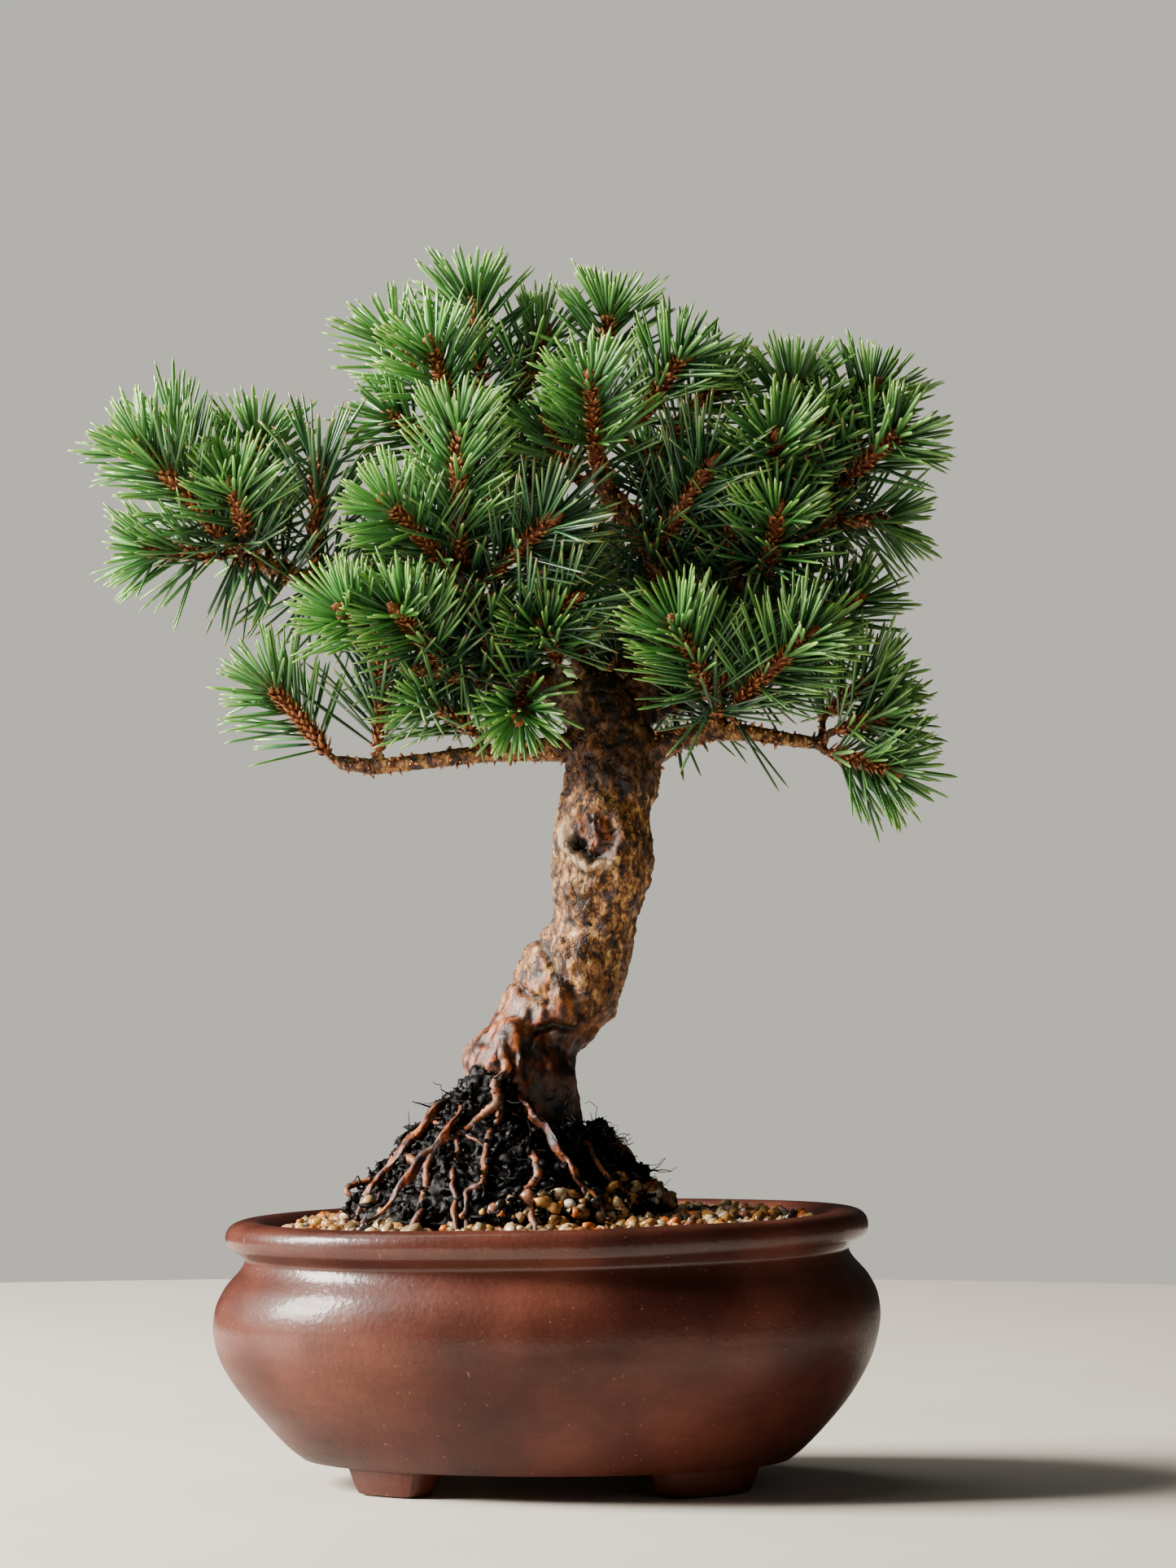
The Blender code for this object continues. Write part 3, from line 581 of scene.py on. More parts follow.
@dataclass
class Shape:
    """A small template that is copied many times, with how far along it each vertex lies."""

    mesh: bpy.types.Mesh
    along: list[float]
    flat: list[float]

    @classmethod
    def spike(
        cls, rings: Sequence[tuple[float, float]], bend: float, sides: int, thin: float, slot: int
    ) -> "Shape":
        """A tapered spike one unit long: a needle, a scale, a sheath or a peg.

        Args:
            rings: the share of the length and the width of each ring.
            bend: how far its tip stands off to +Y, as a share of the length.
            sides: how many sides it has.
            thin: its thickness over its width; its -Y side is flatter still.
            slot: its material's index.
        """
        bm = bmesh.new()
        bmesh.ops.create_cone(bm, cap_ends=True, segments=sides, radius1=1.0, radius2=1.0, depth=1.0)
        bmesh.ops.translate(bm, vec=(0.0, 0.0, 0.5), verts=bm.verts)
        long_edges = [edge for edge in bm.edges if abs(edge.verts[0].co.z - edge.verts[1].co.z) > 0.5]
        bmesh.ops.subdivide_edges(bm, edges=long_edges, cuts=len(rings) - 2)
        flat = []
        along = []
        for vertex in bm.verts:
            share, width = rings[round(vertex.co.z * (len(rings) - 1))]
            low_side = vertex.co.y < -0.2
            depth = vertex.co.y * width * thin * (0.45 if low_side else 1.0)
            vertex.co = Vector((vertex.co.x * width, depth + bend * share * share, share))
            flat.append(1.0 if low_side else 0.0)
            along.append(share)
        for face in bm.faces:
            face.material_index = slot
        return cls(mesh_of(bm, "spike", ()), along, flat)

    @classmethod
    def pebble(cls, seed: int, cuts: int, rough: float, squash: Vector) -> "Shape":
        """A rounded lump about one unit in radius, from a rounded cube."""
        bm = bmesh.new()
        bmesh.ops.create_cube(bm, size=2.0)
        bmesh.ops.subdivide_edges(bm, edges=bm.edges, cuts=cuts, use_grid_fill=True)
        for vertex in bm.verts:
            out = vertex.co.normalized().lerp(vertex.co * 0.8, 0.22)
            swell = 1.0 + rough * noise.noise(out * 1.1 + Vector((seed * 7.3, 0.0, seed * 2.1)))
            vertex.co = out * squash * swell
        return cls(mesh_of(bm, "pebble", ()), [], [])


class Cluster:
    """Many copies of small shapes, gathered into one mesh."""

    def __init__(self) -> None:
        """Starts with nothing in it."""
        self.bm = bmesh.new()
        self.along: list[float] = []
        self.flat: list[float] = []
        self.tone: list[float] = []

    def take(self, mesh: bpy.types.Mesh, along: list[float], flat: list[float], tone: float) -> None:
        """Takes in a short-lived mesh that is already in place, and removes it."""
        self.bm.from_mesh(mesh)
        count = len(mesh.vertices)
        bpy.data.meshes.remove(mesh)
        self.along.extend(along or [0.3] * count)
        self.flat.extend(flat or [0.0] * count)
        self.tone.extend([tone] * count)

    def add(self, shape: Shape, place: Matrix, tone: float) -> None:
        """Adds one copy of a shape at a place, with its own tone of the finish."""
        copy = shape.mesh.copy()
        copy.transform(place)
        self.take(copy, shape.along, shape.flat, tone)

    def add_tube(self, points: Sequence[Vector], radii: Sequence[float], sides: int, slot: int,
                 tone: float) -> None:
        """Adds a closed tube; its faces get the material slot."""
        bm = bmesh.new()
        sweep(bm, points, radii, sides)
        bmesh.ops.recalc_face_normals(bm, faces=bm.faces)
        for face in bm.faces:
            face.material_index = slot
        self.take(mesh_of(bm, "tube", ()), [], [], tone)

    def finish(self, name: str, materials: Sequence[bpy.types.Material]) -> bpy.types.Mesh:
        """Returns the mesh with its attributes."""
        mesh = mesh_of(self.bm, name, materials)
        write_attribute(mesh, "along", self.along)
        write_attribute(mesh, "flat", self.flat)
        write_attribute(mesh, "tone", self.tone)
        return mesh


# ---------------------------------------------------------------- pot


@dataclass
class Pot:
    """The oval pot: turned, pressed to an oval and tilted a little in the kiln."""

    outer: Sequence[tuple[float, float]] = (
        (85.6, 79.9), (88.0, 80.35), (90.4, 80.3), (93.4, 79.7), (95.4, 77.9), (95.9, 75.2), (95.0, 72.6),
        (92.4, 71.0), (90.4, 69.6), (90.1, 68.2), (91.6, 65.6), (94.0, 63.0), (96.4, 60.2), (99.0, 55.2),
        (100.0, 49.0), (99.2, 42.5), (96.6, 35.5), (91.6, 27.5), (84.6, 19.0), (77.6, 11.6), (73.0, 7.9),
    )
    inner: Sequence[tuple[float, float]] = (
        (62.0, 14.5), (74.0, 19.0), (82.0, 27.0), (87.0, 37.0), (89.2, 47.0), (87.6, 57.0), (83.0, 64.5),
        (80.6, 69.0), (80.6, 73.6), (81.8, 77.4),
    )
    floor_z: tuple[float, float] = (7.5, 14.5)
    depth_ratio: float = 0.725
    sides: int = 160
    slump_per_mm: float = 0.0215
    slump_z: tuple[float, float] = (15.0, 55.0)
    feet_deg: Sequence[tuple[float, float]] = ((213.0, 240.0), (298.0, 335.0), (33.0, 60.0), (118.0, 155.0))
    foot_radii: tuple[float, float] = (55.0, 73.5)
    foot_top_z: float = 12.5
    foot_splay: float = 4.6
    sole_square: float = 0.93
    seam: tuple[float, float, float] = (-6.0, 0.35, 3.0)
    drain_x: float = 34.0
    drain_r: float = 8.0
    middle_x: float = field(init=False)

    def __post_init__(self) -> None:
        """Finds the pot's middle from its CAD box."""
        low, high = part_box("pot")
        self.middle_x = (low.x + high.x) / 2 / MM

    def slump_at(self, x: float, z: float) -> float:
        """How far the kiln tilt lifts a point, in millimetres."""
        return x * self.slump_per_mm * smoothstep(z, *self.slump_z)

    def section(self) -> list[Vector]:
        """The wall's section from the inside floor up, over the lip and down to the foot, rounded."""
        loop = [Vector((radius, 0.0, height)) for radius, height in (*self.inner, *self.outer)]
        return rounded_route(loop, 3)

    def body(self) -> bmesh.types.BMesh:
        """Spins the section and presses it to an oval, with a thrower's slight unevenness."""
        bm = bmesh.new()
        low, high = self.floor_z
        points = [Vector((0.0, 0.0, high)), *self.section(), Vector((0.0, 0.0, low))]
        verts = [bm.verts.new(point) for point in points]
        edges = [bm.edges.new(pair) for pair in zip(verts, verts[1:])]
        bmesh.ops.spin(bm, geom=[*verts, *edges], cent=(0, 0, 0), axis=(0, 0, 1), dvec=(0, 0, 0),
                       angle=math.tau, steps=self.sides, use_merge=True, use_duplicate=False)
        bmesh.ops.remove_doubles(bm, verts=bm.verts, dist=1e-3)
        for vertex in bm.verts:
            x, y, z = vertex.co
            sway = noise.noise(Vector((x, y, z * 1.6)) / 46.0) * 0.5
            sway += noise.noise(Vector((x, y, z * 3.0)) / 17.0) * 0.12
            sway += self.seam[1] * math.exp(-(((x - self.seam[0]) / self.seam[2]) ** 2)) * (z < 68.0)
            outward = Vector((x, y, 0.0)).normalized() * sway * smoothstep(z, 8.0, 20.0)
            x, y = x + outward.x, (y + outward.y) * self.depth_ratio
            lift = noise.noise(Vector((x, y, 0.0)) / 40.0) * 0.35 * smoothstep(z, 60.0, 80.0)
            vertex.co = Vector((x, y, z + self.slump_at(x, z) + lift))
        return bm

    def foot(self, start_deg: float, end_deg: float) -> bmesh.types.BMesh:
        """One foot: a wedge of the oval foot ring, narrower at its sole, with rounded edges."""
        bm = bmesh.new()
        inside, outside = self.foot_radii
        bmesh.ops.create_cube(bm, size=2.0)
        bmesh.ops.subdivide_edges(bm, edges=bm.edges, cuts=5, use_grid_fill=True)
        for vertex in bm.verts:
            across, along, height = vertex.co
            if height < -0.99 or abs(along) > 0.99 or abs(across) > 0.99:
                rounding = 1.0 - 0.075 * (abs(across) ** 6 + abs(along) ** 8)
                across, along = across * rounding, along * rounding
            share = (height + 1.0) / 2.0
            inset = self.foot_splay * (1.0 - share) ** 1.4
            radius = (inside + outside) / 2 + across * ((outside - inside) / 2 - inset * 0.6)
            reach = math.radians(end_deg - start_deg) / 2 - inset / outside
            angle = math.radians(start_deg + end_deg) / 2 + along * reach
            z = share * self.foot_top_z
            if share < 0.01:
                z += max(0.0, max(abs(vertex.co.x), abs(vertex.co.y)) - self.sole_square) * 9.0
            vertex.co = Vector((radius * math.cos(angle), radius * math.sin(angle) * self.depth_ratio, z))
        bmesh.ops.recalc_face_normals(bm, faces=bm.faces)
        return bm

    def placed(self, bm: bmesh.types.BMesh, name: str) -> bpy.types.Object:
        """Turns a bmesh in millimetres round the pot's middle into an object in the row frame."""
        bmesh.ops.transform(bm, matrix=Matrix.Scale(MM, 4) @ Matrix.Translation((self.middle_x, 0, 0)),
                            verts=bm.verts)
        bmesh.ops.recalc_face_normals(bm, faces=bm.faces)
        thing = bpy.data.objects.new(name, mesh_of(bm, name, ()))
        bpy.context.scene.collection.objects.link(thing)
        return thing

    def build(self) -> None:
        """Joins the body and the feet, drills the drain holes and glazes the result."""
        pot = self.placed(self.body(), "pot_blank")
        tools = [(self.placed(self.foot(*span), f"foot_{i}"), "UNION") for i, span in enumerate(self.feet_deg)]
        for side in (-1, 1):
            drill = bmesh.new()
            bmesh.ops.create_cone(drill, cap_ends=True, segments=32, radius1=self.drain_r,
                                  radius2=self.drain_r, depth=20.0)
            bmesh.ops.translate(drill, vec=(side * self.drain_x, 0.0, 11.0), verts=drill.verts)
            tools.append((self.placed(drill, f"drill_{side}"), "DIFFERENCE"))
        for tool, operation in tools:
            cut = pot.modifiers.new(tool.name, "BOOLEAN")
            cut.operation, cut.solver, cut.object = operation, "EXACT", tool
        mesh = bpy.data.meshes.new_from_object(pot.evaluated_get(bpy.context.evaluated_depsgraph_get()))
        for thing in [pot, *(tool for tool, _ in tools)]:
            bpy.data.objects.remove(thing)
        mesh.materials.clear()
        mesh.materials.append(Stoneware().build())
        mesh.shade_smooth()
        mesh.set_sharp_from_angle(angle=math.radians(38.0))
        add_piece("stoneware_pot", mesh, ("pot",))


# ---------------------------------------------------------------- grit, peat and roots


@dataclass
class Ground:
    """The mound's broken surface and the grit's level, which stones and roots lie on."""

    voxel: float = 0.9
    foot_x: float = 1.2
    ray_reach: float = 120.0
    foot_z: float = 83.0
    clods: Sequence[tuple[Vector, Vector]] = (
        (Vector((-8.5, -12.5, 108.0)), Vector((11.0, 8.5, 17.5))),
        (Vector((-14.5, -7.0, 103.0)), Vector((9.0, 10.0, 14.0))),
    )
    grit: BVHTree = field(default_factory=lambda: surface_of("gravel"))
    peat: bpy.types.Mesh = field(init=False)
    wood: BVHTree = field(default_factory=lambda: surface_of("tree"))
    mound: BVHTree = field(init=False)
    centre: Vector = field(init=False)

    def __post_init__(self) -> None:
        """Takes the mound's middle from its box and breaks up its surface."""
        low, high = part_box("root_mound")
        self.centre = (low + high) / 2
        self.peat = self.broken_mound()
        bm = bmesh.new()
        bm.from_mesh(self.peat)
        self.mound = BVHTree.FromBMesh(bm)
        bm.free()

    def broken_mound(self) -> bpy.types.Mesh:
        """The mound with the clods left between the top roots, broken up into crumbs."""
        bm = merged_copy("root_mound")
        for centre, size in self.clods:
            place = Matrix.LocRotScale(centre * MM, None, size * MM)
            bmesh.ops.create_icosphere(bm, subdivisions=3, radius=1.0, matrix=place)
        mesh = baked(mesh_of(bm, "mound_blank", ()),
                     ("REMESH", {"mode": "VOXEL", "voxel_size": self.voxel * MM}),
                     ("SMOOTH", {"iterations": 3, "factor": 0.5}))
        bm = bmesh.new()
        bm.from_mesh(mesh)
        bpy.data.meshes.remove(mesh)
        bm.normal_update()
        moves = []
        for vertex in bm.verts:
            p = vertex.co / MM
            cells = noise.voronoi(p / 3.6)[0]
            swell = bumps(p, 9.0) * 1.9 + (min(cells[1] - cells[0], 0.5) - 0.25) * 3.4
            swell += bumps(p, 2.0) * 0.8 + abs(bumps(p, 4.5)) * 1.4
            free = smoothstep(math.hypot(p.x - self.foot_x, p.y), 17.0, 23.0) if p.y > -12.0 else 1.0
            moves.append(vertex.normal * swell * free * smoothstep(p.z, 78.0, 84.0) * MM)
        for vertex, move in zip(bm.verts, moves):
            vertex.co += move
        return mesh_of(bm, "peat_mound", ())

    def below(self, x: float, y: float) -> tuple[Vector | None, bool]:
        """What lies under a place seen from above, and whether it is the mound."""
        start, down = Vector((x, y, 0.3)), Vector((0, 0, -1))
        grit = self.grit.ray_cast(start, down)[0]
        mound = self.mound.ray_cast(start, down)[0]
        if mound and (not grit or mound.z > grit.z):
            return mound, True
        return grit, False

    def side(self, bearing_deg: float, height_mm: float, out_mm: float = 0.0) -> Vector:
        """A point on the mound's side, or past its foot on the grit, moved out from it.

        Args:
            bearing_deg: the direction from the mound's middle.
            height_mm: the height above the table.
            out_mm: how far off the surface the point stands.
        """
        bearing = math.radians(bearing_deg)
        away = Vector((math.cos(bearing), math.sin(bearing), 0.0))
        reach = self.ray_reach * MM
        start = Vector((self.centre.x, self.centre.y, height_mm * MM)) + away * reach
        hit, normal, _index, distance = self.mound.ray_cast(start, -away)
        while (hit is None or distance > reach) and height_mm > self.foot_z + 1.0:
            height_mm -= 2.0
            start.z = height_mm * MM
            hit, normal, _index, distance = self.mound.ray_cast(start, -away)
        if hit is None or height_mm < self.foot_z - 1.0:
            foot = self.mound.ray_cast(Vector((*start.xy, self.foot_z * MM)), -away)[0]
            hit = foot + away * (self.foot_z - height_mm) * 1.6 * MM
            hit.z = height_mm * MM
            normal = (away + UP).normalized()
        return hit + normal * out_mm * MM

    def front(self, x_mm: float, z_mm: float, out_mm: float) -> Vector:
        """A point on the front of the mound or the wood, or ahead of the foot, moved out from it."""
        low_z = self.foot_z + 0.5
        start = Vector((x_mm, -self.ray_reach, max(z_mm, low_z))) * MM
        hits = [tree.ray_cast(start, Vector((0, 1, 0)))[0] for tree in (self.mound, self.wood)]
        if z_mm < 121.0:
            hits = hits[:1]
        hit = min((spot for spot in hits if spot), key=lambda spot: spot.y, default=self.centre)
        low = max(0.0, low_z - z_mm)
        return Vector((hit.x, hit.y - (out_mm + 1.4 * low) * MM, z_mm * MM))


@dataclass
class Grit:
    """Loose stones laid in layers round the mound, with a few on its foot."""

    ground: Ground
    layers: Sequence[tuple[int, float]] = ((860, 0.2), (760, -1.7), (560, -4.0))
    outer: tuple[float, float] = (78.6, 56.6)
    radius: tuple[float, float] = (1.3, 2.5)
    on_mound: int = 36
    drift: float = math.radians(-38.0)

    def build(self) -> None:
        """Scatters the stones."""
        rng = random.Random("grit")
        kinds = [Shape.pebble(i, 1, 0.5, Vector((1.2, 0.92, 0.68 + 0.07 * (i % 3)))) for i in range(7)]
        heap = Cluster()
        middle_x = (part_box("pot")[0].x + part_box("pot")[1].x) / 2
        for count, lift in self.layers:
            turn = rng.uniform(0.0, math.tau)
            for i in range(count):
                share = math.sqrt(0.16 + 0.84 * (i + rng.uniform(0.1, 0.9)) / count)
                angle = turn + i * GOLDEN_ANGLE
                x = middle_x + self.outer[0] * MM * share * math.cos(angle)
                y = self.outer[1] * MM * share * math.sin(angle)
                bearing = math.atan2(y - self.ground.centre.y, x - self.ground.centre.x)
                climb = 3.0 + 9.0 * smoothstep(math.cos(bearing - self.drift), 0.3, 0.95)
                self.lay(heap, kinds, rng, x, y, lift, climb)
        for _ in range(self.on_mound):
            bearing = rng.uniform(-75.0, 60.0) if rng.random() < 0.7 else rng.uniform(0.0, 360.0)
            spot = self.ground.side(bearing, rng.uniform(82.5, 92.0))
            self.lay(heap, kinds, rng, spot.x, spot.y, 0.5, 14.0)
        add_piece("grit_stones", heap.finish("grit_stones", [RiverGrit().build()]), ("gravel",))

    def lay(self, heap: Cluster, kinds: Sequence[Shape], rng: random.Random, x: float, y: float,
            lift: float, climb: float) -> None:
        """Lays one stone on what is below, unless the mound rises too high there."""
        spot, on_mound = self.ground.below(x, y)
        size = rng.uniform(*self.radius) * rng.choice((0.75, 1.0, 1.0, 1.2))
        turn = random_turn(rng)
        tone = rng.random()
        if spot is None or (on_mound and spot.z > (80.0 + climb) * MM):
            return
        height = spot.z + (lift + rng.uniform(-0.5, 0.6)) * MM
        place = Matrix.LocRotScale(Vector((spot.x, spot.y, height)), turn, Vector((size * MM,) * 3))
        heap.add(rng.choice(kinds), place, tone)


@dataclass
class Peat:
    """The mound of wet black peat, its loose crumbs, fine dead roots and thin live roots."""

    ground: Ground
    crumbs: int = 1300
    hairs: int = 330
    front_roots: dict[str, Route] = field(default_factory=lambda: {
        "knot_left": ((-3.6, 134.5, 1.2), (-5.0, 129.5, 1.6), (-3.8, 125, 1.6), (-6.9, 120, 1.5),
                      (-6.2, 115.5, 1.9), (-11, 111, 1.2), (-16.7, 106, 1.15), (-23.2, 102.7, 1.3),
                      (-26.7, 96.7, 1.35), (-27.2, 90, 1.2), (-29, 83, 1.2), (-32.5, 78, 1.0)),
        "knot_down": ((-5.6, 116, 1.2), (-5.4, 111, 1.25), (-8.6, 106, 1.25), (-9.8, 99, 1.1), (-10.4, 93, 1.2),
                      (-14.4, 90, 1.0), (-15.3, 85, 0.95), (-14.6, 79, 0.8)),
        "short": ((-0.8, 103.6, 0.6), (3.2, 101, 1.3), (5.8, 95.5, 1.35), (4.4, 92, 1.3), (2.2, 89.8, 1.2),
                  (3.6, 85, 1.15), (6.0, 78, 1.0)),
        "inner": ((-19.9, 107.5, 0.8), (-17.9, 101.5, 0.9), (-19.1, 95.5, 0.85), (-18.6, 87.5, 0.9),
                  (-17.6, 79, 0.8)),
        "cross": ((-30.5, 108, 0.6), (-24.5, 108.8, 0.75), (-18.6, 107.3, 0.7), (-13, 104, 0.6),
                  (-9, 102.5, 0.45)),
        "stub": ((-36.5, 99.2, 0.6), (-31.5, 98, 1.45), (-27.8, 96, 1.1), (-25.4, 94.4, 0.5)),
        "far_left": ((-33, 103, 1.0), (-39.5, 97.5, 1.1), (-43.5, 91.5, 1.0), (-47.5, 86, 0.95),
                     (-54, 80, 0.8)),
        "far_left_thin": ((-36, 100, 0.6), (-40.5, 92, 0.55), (-41.5, 86.5, 0.6), (-46.5, 81, 0.5)),
        "right_fork": ((11.8, 101.5, 0.8), (16.9, 95, 0.7), (20.4, 88, 0.6), (25.4, 82.5, 0.5), (28, 79, 0.4)),
        "right_cross": ((-3.8, 112, 0.35), (1.2, 110, 0.4), (5.5, 112.5, 0.35), (8.2, 110.6, 0.25)),
    })
    round_roots: dict[str, Route] = field(default_factory=lambda: {
        "right": ((320, 112, 1.0), (327, 102, 0.9), (322, 93, 0.9), (330, 86, 0.8), (333, 80.5, 0.7)),
        "right_back": ((8, 110, 1.2), (14, 100, 1.0), (9, 92, 1.0), (17, 85, 0.9), (15, 80, 0.8)),
        "back": ((96, 112, 1.3), (91, 102, 1.1), (98, 93, 1.0), (93, 86, 1.0), (97, 80, 0.9)),
        "back_thin": ((118, 108, 0.8), (123, 99, 0.8), (116, 91, 0.7), (124, 84, 0.6)),
        "left_back": ((172, 108, 1.2), (177, 99, 1.0), (170, 91, 1.0), (176, 84, 0.9), (173, 80, 0.8)),
    })

    def build(self) -> None:
        """Builds the mound, the crumbs and the roots."""
        peat = PEAT.build()
        self.ground.peat.materials.append(peat)
        add_piece("peat_mound", self.ground.peat, ("root_mound",))

        rng = random.Random("peat")
        kinds = [Shape.pebble(20 + i, 1, 1.3, Vector((1.35, 0.8, 0.5))) for i in range(6)]
        heap = Cluster()
        for _ in range(self.crumbs):
            spot = self.ground.side(rng.uniform(0, 360), 82.0 + 42.0 * rng.random() ** 1.2,
                                    rng.uniform(-0.3, 0.9))
            size = rng.uniform(0.5, 2.0) * MM
            turn = random_turn(rng)
            heap.add(rng.choice(kinds), Matrix.LocRotScale(spot, turn, Vector((size,) * 3)), rng.random())
        add_piece("peat_crumbs", heap.finish("peat_crumbs", [peat]))

        self.hair_roots(rng, peat)
        self.live_roots()

    def hair_roots(self, rng: random.Random, peat: bpy.types.Material) -> None:
        """Fine dead roots that stand off the peat and curl."""
        tangle = Cluster()
        for i in range(self.hairs):
            bearing = rng.uniform(0, 360) if i % 2 else rng.uniform(-60, 50)
            height = rng.uniform(82, 120)
            start = self.ground.side(bearing, height, -0.6)
            outward = (self.ground.side(bearing, height, 1.0) - start).normalized()
            heading = (outward + jolt(rng, 0.9, 0.8, -0.25)).normalized()
            points, length = [start], rng.uniform(4, 14)
            for _step in range(7):
                heading += jolt(rng, 0.42, 0.42, -0.06)
                heading.normalize()
                points.append(points[-1] + heading * length / 7 * MM)
            thick = rng.uniform(0.15, 0.42) * MM
            tangle.add_tube(points, [thick * (1 - 0.09 * i) for i in range(8)], 4, 0, rng.random())
        add_piece("dead_root_hairs", tangle.finish("dead_root_hairs", [peat]))

    def live_roots(self) -> None:
        """Thin live roots that wind down the mound and into the grit."""
        tangle = Cluster()
        for marks in self.front_roots.values():
            places = [self.ground.front(x, z, radius * 0.35) for x, z, radius in marks]
            self.draw(tangle, places, marks)
        for marks in self.round_roots.values():
            places = [self.ground.side(bearing, height, radius * 0.6) for bearing, height, radius in marks]
            places[0] = self.ground.side(marks[0][0], marks[0][1], -1.5)
            self.draw(tangle, places, marks)
        mesh = tangle.finish("live_roots", [PineBark().build()])
        count = len(mesh.vertices)
        for name, value in zip(BARK_ATTRIBUTES, (0.0, 0.0, 1.0, 0.04)):
            write_attribute(mesh, name, [value] * count)
        add_piece("live_roots", mesh)

    def draw(self, tangle: Cluster, places: list[Vector], marks: Route) -> None:
        """Draws one root as a knobbly tube through its places."""
        places[-1] = places[-1] - UP * 1.5 * MM
        route = rounded_route(places, 7)
        radii = []
        for i in range(len(route)):
            share = i / 7.0
            first = marks[min(int(share), len(marks) - 1)][2]
            last = marks[min(int(share) + 1, len(marks) - 1)][2]
            knob = 1.0 + 0.3 * noise.noise(route[i] / (1.8 * MM)) + 0.15 * noise.noise(route[i] / (0.9 * MM))
            radii.append((first + (last - first) * (share % 1.0)) * knob * MM)
        wiggle = [point + noise.noise_vector(point / (4.0 * MM)) * 0.8 * MM for point in route]
        tangle.add_tube(wiggle, radii, 8, 0, 0.5)


# ---------------------------------------------------------------- wood


